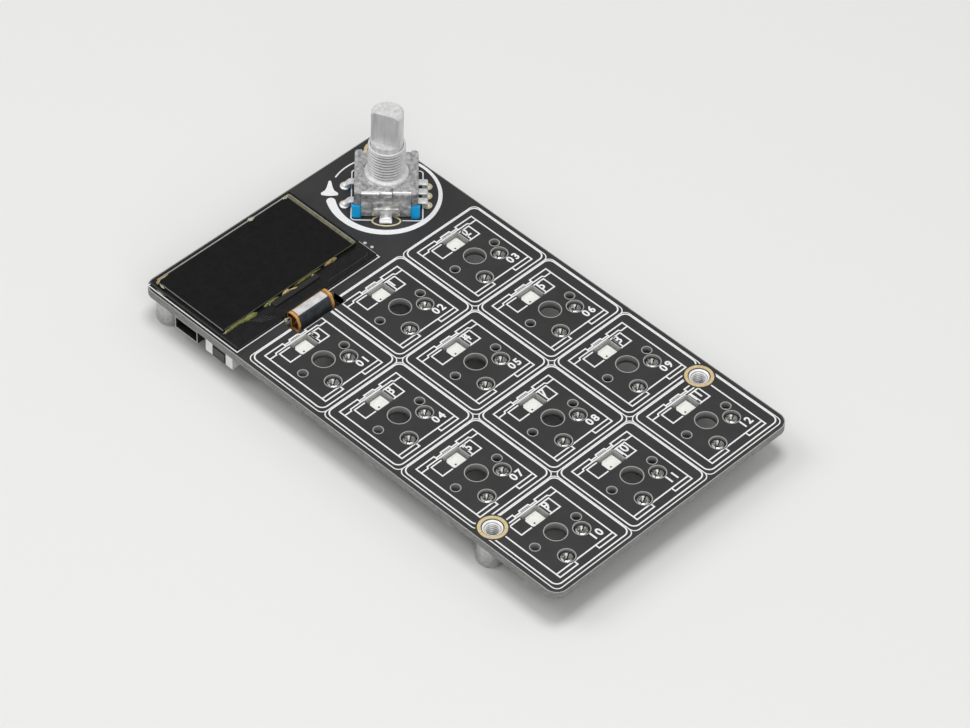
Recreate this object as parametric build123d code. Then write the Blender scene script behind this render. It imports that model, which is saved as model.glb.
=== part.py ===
"""Twelve-key macro keypad board with a small display and a push-and-turn rotary encoder.

Millimetres. The origin is on the ground under the middle of the board, +X is the user's right,
+Y points away from the user (towards the display) and +Z is up. The board stands on four
threaded standoffs, its key switch sockets and electronics hang under it, and the display and
the encoder stand on its top face.
"""
from build123d import *
import os

# ---------------------------------------------------------------- board and key grid
key_pitch = 19.05              # standard key spacing
key_columns = 3
key_rows = 4
side_margin = 1.075            # key cells to the side edges
front_margin = 0.95            # key cells to the front edge
head_length = 26.55            # board behind the last key cells
board_thickness = 1.6
board_corner_radius = 2.5

board_width = key_columns * key_pitch + 2 * side_margin
board_length = key_rows * key_pitch + front_margin + head_length
board_left = -board_width / 2
board_right = board_width / 2
board_front = -board_length / 2
board_back = board_length / 2
keys_front = board_front + front_margin

# ---------------------------------------------------------------- standoffs
standoff_height = 6.0          # from the ground to the board's underside
standoff_diameter = 5.5
standoff_bore_diameter = 2.5   # minor diameter of an M3 thread
standoff_mouth_chamfer = 0.3
neck_diameter = 4.0            # neck soldered into the board
neck_clearance = 0.1           # round the neck
neck_drop = 0.1                # neck stops under the board's top face
standoff_side_inset = 3.55
standoff_back_inset = 3.75
standoff_row_offset = 1.35     # front pair, in front of the line between the last two key rows

board_bottom = standoff_height
board_top = board_bottom + board_thickness
standoff_x = board_right - standoff_side_inset
standoff_back_y = board_back - standoff_back_inset
standoff_front_y = keys_front + key_pitch - standoff_row_offset
standoff_places = [
    (side * standoff_x, y) for y in (standoff_front_y, standoff_back_y) for side in (-1, 1)
]

# ---------------------------------------------------------------- key switch seats
switch_post_diameter = 4.0     # hole for the switch's middle post
switch_peg_diameter = 1.7      # holes for its two side pegs
switch_peg_reach = 5.08
socket_hole_diameter = 3.0     # holes for the socket's two barrels
socket_holes = [(3.81, -2.54), (-2.54, -5.08)]

# ---------------------------------------------------------------- hot-swap sockets
socket_thickness = 1.85
socket_left = -4.865           # left end of the deep half
socket_right = 6.085           # right end of the shallow half
socket_front = -6.8
socket_back_left = -2.3        # back edge of the left half
socket_back_right = -0.86      # back edge of the right half
socket_step_x = 2.49           # where the two halves meet
socket_corner = 2.05
barrel_diameter = 2.8
barrel_pocket = 1.7            # square pocket for the contact and the switch's pin
barrel_drop = 0.5              # barrel's rim under the board's top face
leaf_clearance = 0.05          # contact in the socket
leaf_thickness = 0.2
leaf_drop = 0.15               # leaves' ends under the barrel's rim
contact_thickness = 0.2
contact_width = 1.7
tab_reach = 2.2                # solder tab beyond the socket's end

# ---------------------------------------------------------------- key lights
light_slot_width = 4.0
light_slot_length = 3.2
light_slot_y = 4.95            # middle of the slot, behind the key's middle
light_slot_radius = 0.4
light_width = 3.2
light_length = 2.8
light_height = 1.75
light_drop = 0.8               # light's top under the board's top face
light_notch = 0.7              # bevelled corner that marks the first lead
light_lead_width = 0.85
light_lead_thickness = 0.15
light_lead_length = 1.35
light_lead_pitch = 1.5

# ---------------------------------------------------------------- display
display_width = 34.5
display_length = 23.0
display_left_inset = 1.05
display_back_inset = 1.0
tape_thickness = 0.15
tape_inset = 1.0
lower_glass_thickness = 0.7
upper_glass_thickness = 0.6
polarizer_thickness = 0.15
upper_left_inset = 0.5         # upper glass from the lower glass's edges
upper_right_inset = 1.0
ledge_length = 4.25            # lower glass left bare in front of the upper one
upper_back_inset = 0.95
polarizer_inset = 0.2
driver_chip_width = 11.0
driver_chip_length = 1.1
driver_chip_height = 0.3
driver_chip_gap = 0.55         # from the upper glass

display_x = board_left + display_left_inset + display_width / 2
display_y = board_back - display_back_inset - display_length / 2
display_front = display_y - display_length / 2
display_back = display_y + display_length / 2
tape_top = board_top + tape_thickness
lower_glass_top = tape_top + lower_glass_thickness
upper_glass_top = lower_glass_top + upper_glass_thickness
upper_front = display_front + ledge_length
upper_back = display_back - upper_back_inset
upper_x = display_x + (upper_left_inset - upper_right_inset) / 2
upper_glass_width = display_width - upper_left_inset - upper_right_inset
upper_y = (upper_front + upper_back) / 2

# ---------------------------------------------------------------- display flex and its slot
flex_width = 8.8
flex_thickness = 0.12
flex_offset = -0.65            # flex middle from the display's middle
flex_bond_length = 1.5         # on the glass ledge
flex_lift_off = 0.3           # on the ledge, where it starts to rise
flex_bow = 0.6                 # crest above the ledge
flex_crest_start = 0.8        # ahead of the glass
flex_crest_end = 2.2
flex_crest_fall = 0.15
flex_reach = 2.95               # foremost point ahead of the glass
flex_loop_depth = 1.0          # lowest point under the board
flex_bend_radius = 0.8
flex_pad_gap = 1.0             # from the loop's end to the solder pads, behind the slot
flex_foot = 2.0                # soldered end
flex_slot_gap = 0.85           # slot's back edge in front of the glass
flex_slot_length = 3.3
flex_slot_side = 1.55          # slot beyond each side of the flex
flex_slot_radius = 0.4

flex_x = display_x + flex_offset
flex_slot_y = display_front - flex_slot_gap - flex_slot_length / 2
flex_slot_width = flex_width + 2 * flex_slot_side

# ---------------------------------------------------------------- rotary encoder
encoder_right_inset = 11.05
encoder_back_inset = 13.5
encoder_turned = -45           # degrees, so that one side faces the front left
base_width = 12.5              # between the sides with terminals
base_depth = 12.2
base_height = 2.7
base_floor = 0.5
base_notch_clearance = 0.1     # round the sheet frame's walls
base_bevel = 0.35
base_side_recess = 0.6         # behind the two front ears
base_ear = 0.8
well_radius = 3.6              # push switch well in the base
body_width = 11.7
body_depth = 11.7              # outside the sheet frame
mount_height = 6.0             # top of the sheet frame above the board
sheet = 0.4
frame_wall_width = 9.1
frame_wall_gap = 0.2           # frame's wall above the board
frame_notch_width = 2.4        # for the housing's locking tab
frame_notch_depth = 1.5         # back from the frame's wall
frame_notch_height = 1.3        # down the wall
tab_clearance = 0.1
frame_corner_radius = 0.8
lug_width = 2.2
lug_reach = 1.2                # lug beyond the frame's wall
lug_tail = 1.0                 # lug below the board
lug_slot_clearance = 0.25
housing_roof = 0.6
rotor_chamber_radius = 4.7
boss_radius = 4.1
boss_height = 0.6
boss_clearance = 0.1
boss_flare = 0.45
bushing_radius = 3.5           # M7 thread, plain here
bushing_length = 7.0           # above the sheet frame
bushing_chamfer = 0.4
shaft_radius = 3.0
shaft_clearance = 0.05
shaft_length = 15.0            # above the sheet frame
shaft_chamfer = 0.5
flat_length = 7.0
flat_across = 4.5              # from the flat to the far side of the shaft
flat_heading = 204             # degrees from +X that the flat faces at rest
push_travel = 0.5
rest_gap = 0.05                # between pieces that touch when pressed
rotor_radius = 4.4
rotor_disc_thickness = 0.8
rotor_hub_radius = 3.4
drive_radius = 2.0             # shaft's lower end, with two flats
drive_across = 3.0
drive_clearance = 0.05
clip_radius = 3.1
clip_thickness = 0.3
clip_groove_radius = 1.45
clip_gap = 0.1                 # clip under the rotor
plunger_plate = 0.4
plunger_nub_radius = 1.2
plunger_nub_height = 0.3
plunger_side_clearance = 0.15
dome_radius = 2.4
dome_crown_radius = 1.1
dome_thickness = 0.12
dome_gap = 0.05
terminal_reach = 7.6           # solder tails from the axis
terminal_height = 1.15
terminal_thickness = 0.3
terminal_width = 1.2
terminal_tail_width = 0.7
terminal_tail = 1.0            # below the board
terminal_hole_diameter = 1.1
turn_terminals = [-2.5, 0.0, 2.5]
push_terminals = [-2.5, 2.5]

encoder_x = board_right - encoder_right_inset
encoder_y = board_back - encoder_back_inset
mount_z = board_top + mount_height
base_top = board_top + base_height
chamber_roof = mount_z - sheet - housing_roof
bushing_top = mount_z + bushing_length
shaft_top = mount_z + shaft_length
rotor_bottom = base_top + rest_gap
clip_top = rotor_bottom - clip_gap
drive_end = clip_top - 2 * clip_thickness
plunger_top = drive_end - rest_gap
plunger_bottom = plunger_top - plunger_nub_height - plunger_plate
shaft_shoulder = chamber_roof
rotor_top = shaft_shoulder - push_travel - rest_gap
lug_y = body_depth / 2 + lug_reach - sheet / 2

# ---------------------------------------------------------------- reset switch, under the left edge
reset_back_inset = 20.15       # from the board's back edge to the switch's middle
reset_width = 7.0
reset_depth = 3.1
reset_height = 2.85
reset_sheet = 0.25
reset_side_gap = 0.05
reset_cover_drop = 0.1         # cover's top edge under the board
reset_window_width = 3.4
reset_window_height = 1.9
reset_button_clearance = 0.1
reset_button_length = 1.5
reset_button_proud = 0.1       # button ahead of the cover
reset_travel = 0.25
reset_y = board_back - reset_back_inset

# ---------------------------------------------------------------- cable socket, under the left edge
cable_back_inset = 11.55
cable_width = 6.0
cable_depth = 4.25
cable_height = 2.9
cable_wall = 0.45
cable_cavity_depth = 3.4
cable_edge_inset = 0.1
cable_pin_count = 4
cable_pin_pitch = 1.0
cable_pin_size = 0.3
cable_pin_length = 2.6
cable_pin_tail = 0.9
cable_y = board_back - cable_back_inset

# ---------------------------------------------------------------- USB-C socket, under the back edge
usb_x = -12.0
usb_width = 8.94
usb_height = 3.16
usb_depth = 7.35
usb_wall = 0.3
usb_tongue_width = 6.7
usb_tongue_thickness = 0.7
usb_tongue_length = 5.3
usb_block_depth = 1.6

# ---------------------------------------------------------------- speaker and chips, under the board
speaker_x = 1.5
speaker_back_inset = 12.5
speaker_diameter = 13.0
speaker_height = 4.2
speaker_rim = 0.5
speaker_port_radius = 1.0
speaker_y = board_back - speaker_back_inset

processor_x = -13.5
processor_back_inset = 15.4
processor_size = 7.0
processor_height = 0.9
memory_x = -3.0
memory_back_inset = 22.6
memory_width = 5.3
memory_length = 4.1
memory_height = 1.2
crystal_x = -20.4
crystal_back_inset = 18.6
crystal_width = 3.2
crystal_length = 2.5
crystal_height = 0.75
regulator_x = -20.2
regulator_back_inset = 8.2
regulator_width = 2.9
regulator_length = 1.6
regulator_height = 1.1
amplifier_x = 9.5
amplifier_back_inset = 19.4
amplifier_size = 3.0
amplifier_height = 0.75
chip_bevel = 0.15
passive_length = 1.6
passive_width = 0.8
passive_height = 0.55
passive_spots = [               # x, distance from the back edge, turned by degrees
    (-19.0, 11.2, 0), (-16.2, 11.2, 0), (-13.4, 11.2, 0), (-10.6, 11.2, 0),
    (-8.3, 15.0, 90), (-8.3, 17.6, 90), (-18.8, 15.2, 90), (-24.0, 20.6, 0),
    (-19.6, 22.6, 0), (-24.0, 22.6, 0), (9.6, 16.2, 0), (9.6, 22.4, 0),
    (-5.2, 7.4, 90), (-23.6, 12.0, 90), (6.8, 19.4, 90), (12.2, 19.4, 90),
]
key_passive_x = 6.2             # one capacitor beside each key's light
key_passive_y = 4.2


# ---------------------------------------------------------------- helpers
def key_places():
    """Middle of each key cell, from the back left to the front right."""
    places = []
    for row in reversed(range(key_rows)):
        for column in range(key_columns):
            x = (column - (key_columns - 1) / 2) * key_pitch
            y = keys_front + (row + 0.5) * key_pitch
            places.append((x, y))
    return places


def disc(radius, bottom, top):
    """Plain round bar between two heights on the Z axis."""
    return Pos(0, 0, bottom) * extrude(Circle(radius), top - bottom)


def slab(width, length, bottom, top, x=0.0, y=0.0):
    """Plain block between two heights, centred on x and y."""
    return Pos(x, y, bottom) * extrude(Rectangle(width, length), top - bottom)


def turned(points):
    """Solid of revolution about Z of an outline of (radius, height) points."""
    outline = make_face(Polyline(*[(r, 0, z) for r, z in points], close=True))
    return revolve(outline, Axis.Z)


def at_encoder(shape):
    """Moves a shape from the encoder's own axis to its place on the board."""
    return Pos(encoder_x, encoder_y, 0) * Rot(0, 0, encoder_turned) * shape


def write(shape, node):
    """Writes one node to its own file."""
    shape.label = node
    export_step(shape, f"parts/{node}.step")


# ---------------------------------------------------------------- board
def encoder_cutouts():
    """Holes and slots for the encoder's terminals and lugs, on the encoder's own axes."""
    holes = [Pos(terminal_reach, y) * Circle(terminal_hole_diameter / 2) for y in turn_terminals]
    holes += [Pos(-terminal_reach, y) * Circle(terminal_hole_diameter / 2) for y in push_terminals]
    slot_width = lug_width + 2 * lug_slot_clearance
    slot_length = sheet + 2 * lug_slot_clearance
    holes += [Pos(0, side * lug_y) * RectangleRounded(slot_width, slot_length, slot_length * 0.4)
              for side in (-1, 1)]
    return holes


def circuit_board():
    """Board with all its holes: standoffs, switch seats, light slots, flex slot and encoder."""
    cuts = [Pos(x, y) * Circle(neck_diameter / 2 + neck_clearance) for x, y in standoff_places]
    for x, y in key_places():
        seat = [Circle(switch_post_diameter / 2)]
        seat += [Pos(side * switch_peg_reach, 0) * Circle(switch_peg_diameter / 2)
                 for side in (-1, 1)]
        seat += [Pos(hx, hy) * Circle(socket_hole_diameter / 2) for hx, hy in socket_holes]
        seat += [Pos(0, light_slot_y)
                 * RectangleRounded(light_slot_width, light_slot_length, light_slot_radius)]
        cuts += [Pos(x, y) * cut for cut in seat]
    cuts += [Pos(flex_x, flex_slot_y)
             * RectangleRounded(flex_slot_width, flex_slot_length, flex_slot_radius)]
    cuts += [at_encoder(cut) for cut in encoder_cutouts()]
    outline = RectangleRounded(board_width, board_length, board_corner_radius) - cuts
    return Pos(0, 0, board_bottom) * extrude(outline, board_thickness)


def standoff():
    """Threaded standoff with a neck that passes into the board."""
    bore = standoff_bore_diameter / 2
    mouth = bore + standoff_mouth_chamfer
    neck_top = board_top - neck_drop
    return turned([
        (mouth, 0), (standoff_diameter / 2, 0), (standoff_diameter / 2, board_bottom),
        (neck_diameter / 2, board_bottom), (neck_diameter / 2, neck_top), (mouth, neck_top),
        (bore, neck_top - standoff_mouth_chamfer), (bore, standoff_mouth_chamfer),
    ])


# ---------------------------------------------------------------- key sockets and lights
def socket_outline():
    """Outline of the socket's plastic body, seen from above."""
    return make_face([
        Line((socket_left, socket_front), (socket_right - socket_corner, socket_front)),
        RadiusArc((socket_right - socket_corner, socket_front),
                  (socket_right, socket_front + socket_corner), -socket_corner),
        Line((socket_right, socket_front + socket_corner), (socket_right, socket_back_right)),
        Line((socket_right, socket_back_right), (socket_step_x, socket_back_right)),
        Line((socket_step_x, socket_back_right), (0, socket_back_left)),
        Line((0, socket_back_left), (socket_left, socket_back_left)),
        Line((socket_left, socket_back_left), (socket_left, socket_front)),
    ])


def contact_run(hole, grow=0.0):
    """Flat strip from a barrel to the solder tab past the socket's end, under the board."""
    x, y = hole
    end = socket_right + tab_reach if x > 0 else socket_left - tab_reach
    width = contact_width + 2 * grow
    top = board_bottom
    bottom = board_bottom - contact_thickness - grow
    return slab(abs(end - x), width, bottom, top, (x + end) / 2, y)


def socket_housing():
    """Plastic socket body with two barrels that stand in the board's holes."""
    body = Pos(0, 0, board_bottom - socket_thickness) * extrude(socket_outline(), socket_thickness)
    barrel_top = board_top - barrel_drop
    for x, y in socket_holes:
        body += Pos(x, y, 0) * disc(barrel_diameter / 2, board_bottom, barrel_top)
    for hole in socket_holes:
        x, y = hole
        body -= slab(barrel_pocket, barrel_pocket, board_bottom - contact_thickness, barrel_top, x, y)
        body -= contact_run(hole, leaf_clearance)
    return body


def socket_contact(hole):
    """Metal contact: two leaves that grip the switch's pin and a flat solder tab."""
    x, y = hole
    leaf_width = barrel_pocket - 2 * leaf_clearance
    leaf_y = (leaf_width - leaf_thickness) / 2
    leaf_top = board_top - barrel_drop - leaf_drop
    contact = contact_run(hole)
    for side in (-1, 1):
        contact += slab(leaf_width, leaf_thickness, board_bottom - contact_thickness, leaf_top,
                        x, y + side * leaf_y)
    return contact


def key_light():
    """Light package with one bevelled corner, its face just under the board's top."""
    top = board_top - light_drop
    package = slab(light_width, light_length, top - light_height, top)
    corner = package.edges().filter_by(Axis.Z).sort_by(Axis.X)[:2].sort_by(Axis.Y)[-1]
    return Pos(0, light_slot_y, 0) * chamfer(corner, light_notch)


def light_leads():
    """Four flat leads of one light, soldered to the board's underside."""
    leads = []
    for side in (-1, 1):
        for end in (-1, 1):
            x = side * (light_width + light_lead_length) / 2
            y = light_slot_y + end * light_lead_pitch / 2
            leads.append(slab(light_lead_length, light_lead_width,
                              board_bottom - light_lead_thickness, board_bottom, x, y))
    return leads


# ---------------------------------------------------------------- display
def display_tape():
    """Foam tape between the board and the glass."""
    return slab(display_width - 2 * tape_inset, display_length - 2 * tape_inset,
                board_top, tape_top, display_x, display_y)


def display_lower_glass():
    """Full-size glass plate that carries the conductors."""
    return slab(display_width, display_length, tape_top, lower_glass_top, display_x, display_y)


def display_upper_glass():
    """Smaller glass plate over the picture area."""
    return slab(upper_glass_width, upper_back - upper_front, lower_glass_top, upper_glass_top,
                upper_x, upper_y)


def display_polarizer():
    """Dark film on the upper glass."""
    return slab(upper_glass_width - 2 * polarizer_inset,
                upper_back - upper_front - 2 * polarizer_inset,
                upper_glass_top, upper_glass_top + polarizer_thickness, upper_x, upper_y)


def display_driver_chip():
    """Bare driver chip bonded to the ledge of the lower glass."""
    y = upper_front - driver_chip_gap - driver_chip_length / 2
    return slab(driver_chip_width, driver_chip_length, lower_glass_top,
                lower_glass_top + driver_chip_height, display_x, y)


def display_flex():
    """Flat flexible circuit: bonded to the ledge, bowed over the slot, down and back to its pads."""
    start_z = lower_glass_top + flex_thickness / 2
    crest_z = start_z + flex_bow
    low_z = board_bottom - flex_loop_depth
    foot_z = board_bottom - flex_thickness / 2
    slot_back = display_front - flex_slot_gap
    side_view = FilletPolyline(
        (display_front + flex_bond_length, start_z),
        (display_front + flex_lift_off, start_z),
        (display_front - flex_crest_start, crest_z),
        (display_front - flex_crest_end, crest_z - flex_crest_fall),
        (display_front - flex_reach, board_top - board_thickness / 4),
        (display_front - flex_reach, low_z),
        (slot_back + flex_thickness, low_z),
        (slot_back + flex_pad_gap, foot_z),
        (slot_back + flex_pad_gap + flex_foot, foot_z),
        radius=flex_bend_radius)
    section = Plane.YZ * trace(side_view, flex_thickness)
    return Pos(flex_x - flex_width / 2, 0, 0) * extrude(section, flex_width)


# ---------------------------------------------------------------- encoder
def encoder_base():
    """Plastic base with the well for the push switch."""
    outline = Rectangle(base_width, base_depth)
    outline = chamfer(outline.vertices(), base_bevel)
    notch_start = body_depth / 2 - sheet - base_notch_clearance
    notch_depth = base_depth / 2 - notch_start
    for side in (-1, 1):
        outline -= Pos(0, side * (notch_start + notch_depth / 2)) * Rectangle(
            frame_wall_width + 2 * base_notch_clearance, notch_depth)
        outline -= Pos(side * (base_width - base_side_recess) / 2, base_ear / 2) * Rectangle(
            base_side_recess, base_depth - base_ear)
    base = Pos(0, 0, board_top) * extrude(outline, base_height)
    return base - disc(well_radius, board_top + base_floor, base_top)


def encoder_frame():
    """Bent sheet frame: top plate with a round opening, two walls and two soldering lugs."""
    top = mount_z
    plate = RectangleRounded(body_width, body_depth, frame_corner_radius)
    plate -= Circle(boss_radius + boss_clearance)
    for side in (-1, 1):
        y = side * (body_depth - frame_notch_depth) / 2
        plate -= Pos(0, y) * Rectangle(frame_notch_width, frame_notch_depth)
    frame = Pos(0, 0, top - sheet) * extrude(plate, sheet)
    wall_bottom = board_top + frame_wall_gap
    for side in (-1, 1):
        wall_y = side * (body_depth - sheet) / 2
        wall = slab(frame_wall_width, sheet, wall_bottom, top - sheet, 0, wall_y)
        notch = slab(frame_notch_width, sheet, top - frame_notch_height, top - sheet, 0, wall_y)
        step = slab(lug_width, lug_reach, wall_bottom, wall_bottom + sheet,
                    0, side * (body_depth + lug_reach) / 2)
        tail = slab(lug_width, sheet, board_bottom - lug_tail, wall_bottom + sheet, 0, side * lug_y)
        frame += (wall - notch) + step + tail
    return frame


def encoder_bushing():
    """Die-cast housing: square body with a tab in each notch of the frame, boss and bushing."""
    roof = mount_z - sheet
    body = slab(body_width, body_depth - 2 * sheet, base_top, roof)
    tab_depth = frame_notch_depth - tab_clearance
    for side in (-1, 1):
        body += slab(frame_notch_width - 2 * tab_clearance, tab_depth,
                     mount_z - frame_notch_height + tab_clearance, mount_z,
                     0, side * (body_depth - tab_depth) / 2)
    body -= disc(rotor_chamber_radius, base_top, chamber_roof)
    boss_top = mount_z + boss_height
    neck = turned([
        (0, roof), (boss_radius, roof), (boss_radius, boss_top - boss_flare),
        (bushing_radius + boss_flare, boss_top), (bushing_radius, boss_top + boss_flare),
        (bushing_radius, bushing_top - bushing_chamfer),
        (bushing_radius - bushing_chamfer, bushing_top), (0, bushing_top),
    ])
    return body + neck - disc(shaft_radius + shaft_clearance, base_top, bushing_top)


def drive_section(clearance):
    """Section with two flats through which the shaft turns the rotor."""
    return Circle(drive_radius + clearance) & Rectangle(
        2 * (drive_radius + clearance), drive_across + 2 * clearance)


def encoder_rotor():
    """Rotor disc and hub, free on the base and driven by the shaft's lower end."""
    rotor = turned([
        (0, rotor_bottom), (rotor_radius, rotor_bottom),
        (rotor_radius, rotor_bottom + rotor_disc_thickness),
        (rotor_hub_radius, rotor_bottom + rotor_disc_thickness),
        (rotor_hub_radius, rotor_top), (0, rotor_top),
    ])
    bore = extrude(drive_section(drive_clearance), rotor_top - rotor_bottom)
    return rotor - Pos(0, 0, rotor_bottom) * bore


def encoder_shaft():
    """Shaft with a flat for the knob, a shoulder and a lower end with two flats."""
    round_part = turned([
        (0, shaft_shoulder), (shaft_radius, shaft_shoulder),
        (shaft_radius, shaft_top - shaft_chamfer), (shaft_radius - shaft_chamfer, shaft_top),
        (0, shaft_top),
    ])
    flat_distance = flat_across - shaft_radius
    offcut = slab(shaft_radius, 2 * shaft_radius, shaft_top - flat_length, shaft_top,
                  flat_distance + shaft_radius / 2)
    round_part -= Rot(0, 0, flat_heading - encoder_turned) * offcut
    drive = Pos(0, 0, drive_end) * extrude(drive_section(0), shaft_shoulder - drive_end)
    groove = disc(drive_radius, clip_top - clip_thickness, clip_top)
    groove -= disc(clip_groove_radius, clip_top - clip_thickness, clip_top)
    return round_part + drive - groove


def encoder_clip():
    """Open ring in the shaft's groove that keeps the shaft from pulling out."""
    ring = Circle(clip_radius) - Circle(clip_groove_radius)
    ring -= Pos(clip_radius, 0) * Rectangle(2 * clip_radius, 2 * clip_groove_radius * 0.9)
    return Pos(0, 0, clip_top - clip_thickness) * extrude(ring, clip_thickness)


def push_plunger():
    """Plunger between the shaft's end and the snap dome."""
    plate_top = plunger_bottom + plunger_plate
    return turned([
        (0, plunger_bottom), (well_radius - plunger_side_clearance, plunger_bottom),
        (well_radius - plunger_side_clearance, plate_top), (plunger_nub_radius, plate_top),
        (plunger_nub_radius, plunger_top), (0, plunger_top),
    ])


def push_dome():
    """Snap dome that clicks and returns the shaft."""
    floor = board_top + base_floor
    crown = plunger_bottom - dome_gap
    return turned([
        (dome_radius, floor), (dome_crown_radius, crown), (0, crown),
        (0, crown - dome_thickness), (dome_crown_radius, crown - dome_thickness),
        (dome_radius - 2 * dome_thickness, floor),
    ])


def terminal(side, y):
    """Solder terminal that leaves the base's side and turns down into the board."""
    inner = base_width / 2 - base_side_recess
    outer = terminal_reach + terminal_thickness / 2
    top = board_top + terminal_height + terminal_thickness
    arm = slab(outer - inner, terminal_width, board_top + terminal_height, top,
               side * (inner + outer) / 2, y)
    tail = slab(terminal_thickness, terminal_tail_width, board_bottom - terminal_tail, top,
                side * terminal_reach, y)
    return arm + tail


def encoder_terminals():
    """All five terminals."""
    pins = [terminal(1, y) for y in turn_terminals] + [terminal(-1, y) for y in push_terminals]
    return Compound(children=[at_encoder(pin) for pin in pins])


# ---------------------------------------------------------------- reset switch
reset_cover_front = board_left + reset_button_proud
reset_body_front = reset_cover_front + reset_sheet
reset_body_width = reset_width - 2 * (reset_sheet + reset_side_gap)
reset_low_z = board_bottom - reset_height
reset_window_z = (board_bottom + reset_low_z) / 2


def reset_body():
    """Switch body with a guide pocket for the button."""
    depth = reset_depth - reset_sheet
    x = reset_body_front + depth / 2
    body = slab(depth, reset_body_width, reset_low_z, board_bottom, x, reset_y)
    pocket_depth = reset_button_length - reset_button_proud - reset_sheet + 2 * reset_travel
    low = reset_window_z - reset_window_height / 2
    pocket = slab(pocket_depth, reset_window_width, low, low + reset_window_height,
                  reset_body_front + pocket_depth / 2, reset_y)
    return body - pocket


def reset_cover():
    """Sheet cover with a window for the button and two side walls."""
    top = board_bottom - reset_cover_drop
    x = reset_cover_front + reset_sheet / 2
    cover = slab(reset_sheet, reset_width, reset_low_z, top, x, reset_y)
    low = reset_window_z - reset_window_height / 2
    cover -= slab(reset_sheet, reset_window_width, low, low + reset_window_height, x, reset_y)
    for side in (-1, 1):
        y = reset_y + side * (reset_width - reset_sheet) / 2
        cover += slab(reset_depth, reset_sheet, reset_low_z, top,
                      reset_cover_front + reset_depth / 2, y)
    return cover


def reset_button():
    """Button that slides into the switch body."""
    width = reset_window_width - 2 * reset_button_clearance
    height = reset_window_height - 2 * reset_button_clearance
    return slab(reset_button_length, width, reset_window_z - height / 2,
                reset_window_z + height / 2, board_left + reset_button_length / 2, reset_y)


# ---------------------------------------------------------------- sockets for cables
cable_front_x = board_left + cable_edge_inset


def cable_housing():
    """Side-entry cable socket, open at the board's left edge."""
    low = board_bottom - cable_height
    housing = slab(cable_depth, cable_width, low, board_bottom,
                   cable_front_x + cable_depth / 2, cable_y)
    cavity = slab(cable_cavity_depth, cable_width - 2 * cable_wall, low + cable_wall,
                  board_bottom - cable_wall, cable_front_x + cable_cavity_depth / 2, cable_y)
    return housing - cavity


def cable_pins():
    """Contact pins in the cavity and their tails behind the housing."""
    pins = []
    back_wall = cable_front_x + cable_cavity_depth
    back = cable_front_x + cable_depth
    middle = board_bottom - cable_height / 2
    for i in range(cable_pin_count):
        y = cable_y + (i - (cable_pin_count - 1) / 2) * cable_pin_pitch
        pins.append(slab(cable_pin_length, cable_pin_size, middle - cable_pin_size / 2,
                         middle + cable_pin_size / 2, back_wall - cable_pin_length / 2, y))
        pins.append(slab(cable_pin_tail, cable_pin_size, board_bottom - cable_pin_size / 2,
                         board_bottom, back + cable_pin_tail / 2, y))
    return Compound(children=pins)


def usb_shell():
    """Rounded metal shell of the USB-C socket, open at the board's back edge."""
    outline = SlotOverall(usb_width, usb_height)
    opening = SlotOverall(usb_width - 2 * usb_wall, usb_height - 2 * usb_wall)
    section = Plane.XZ * (outline - opening)
    shell = extrude(section, usb_depth)
    return Pos(usb_x, board_back, board_bottom - usb_height / 2) * shell


def usb_tongue():
    """Insulator block at the back of the shell with its contact tongue."""
    middle = board_bottom - usb_height / 2
    inner = board_back - usb_depth
    block_face = SlotOverall(usb_width - 2 * usb_wall, usb_height - 2 * usb_wall)
    block = Pos(usb_x, inner + usb_block_depth, middle) * extrude(Plane.XZ * block_face,
                                                                usb_block_depth)
    tongue = slab(usb_tongue_width, usb_tongue_length, middle - usb_tongue_thickness / 2,
                  middle + usb_tongue_thickness / 2, usb_x,
                  inner + usb_block_depth + usb_tongue_length / 2 - 0.2)
    return block + tongue


# ---------------------------------------------------------------- speaker, chips and passives
def speaker():
    """Round speaker can with a sound port in its face."""
    face = board_bottom - speaker_height
    can = Pos(0, 0, face) * extrude(Circle(speaker_diameter / 2), speaker_height)
    can = chamfer(can.faces().sort_by(Axis.Z)[0].edges(), speaker_rim)
    can -= disc(speaker_port_radius, face, face + speaker_rim)
    return Pos(speaker_x, speaker_y, 0) * can


def chip(width, length, height, x, back_inset):
    """Moulded chip package hanging under the board, bevelled round its lower face."""
    body = slab(width, length, board_bottom - height, board_bottom)
    body = chamfer(body.faces().sort_by(Axis.Z)[0].edges(), chip_bevel)
    return Pos(x, board_back - back_inset, 0) * body


def passives():
    """Capacitors and resistors under the board."""
    part = slab(passive_length, passive_width, board_bottom - passive_height, board_bottom)
    spots = [Pos(x, board_back - inset, 0) * Rot(0, 0, turn) for x, inset, turn in passive_spots]
    spots += [Pos(x + key_passive_x, y + key_passive_y, 0) * Rot(0, 0, 90) for x, y in key_places()]
    return Compound(children=[spot * part for spot in spots])


# ---------------------------------------------------------------- files
os.makedirs("parts", exist_ok=True)

write(circuit_board(), "circuit_board")
write(Compound(children=[Pos(x, y, 0) * standoff() for x, y in standoff_places]), "standoffs")

housing = socket_housing()
light = key_light()
for number, (x, y) in enumerate(key_places(), start=1):
    write(Pos(x, y, 0) * housing, f"key_socket_{number:02d}")
    write(Pos(x, y, 0) * light, f"key_light_{number:02d}")
contacts = [socket_contact(hole) for hole in socket_holes]
write(Compound(children=[Pos(x, y, 0) * contact for x, y in key_places() for contact in contacts]),
      "socket_contacts")
write(Compound(children=[Pos(x, y, 0) * lead for x, y in key_places() for lead in light_leads()]),
      "light_leads")

write(display_tape(), "display_tape")
write(display_lower_glass(), "display_lower_glass")
write(display_upper_glass(), "display_upper_glass")
write(display_polarizer(), "display_polarizer")
write(display_driver_chip(), "display_driver_chip")
write(display_flex(), "display_flex")

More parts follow.
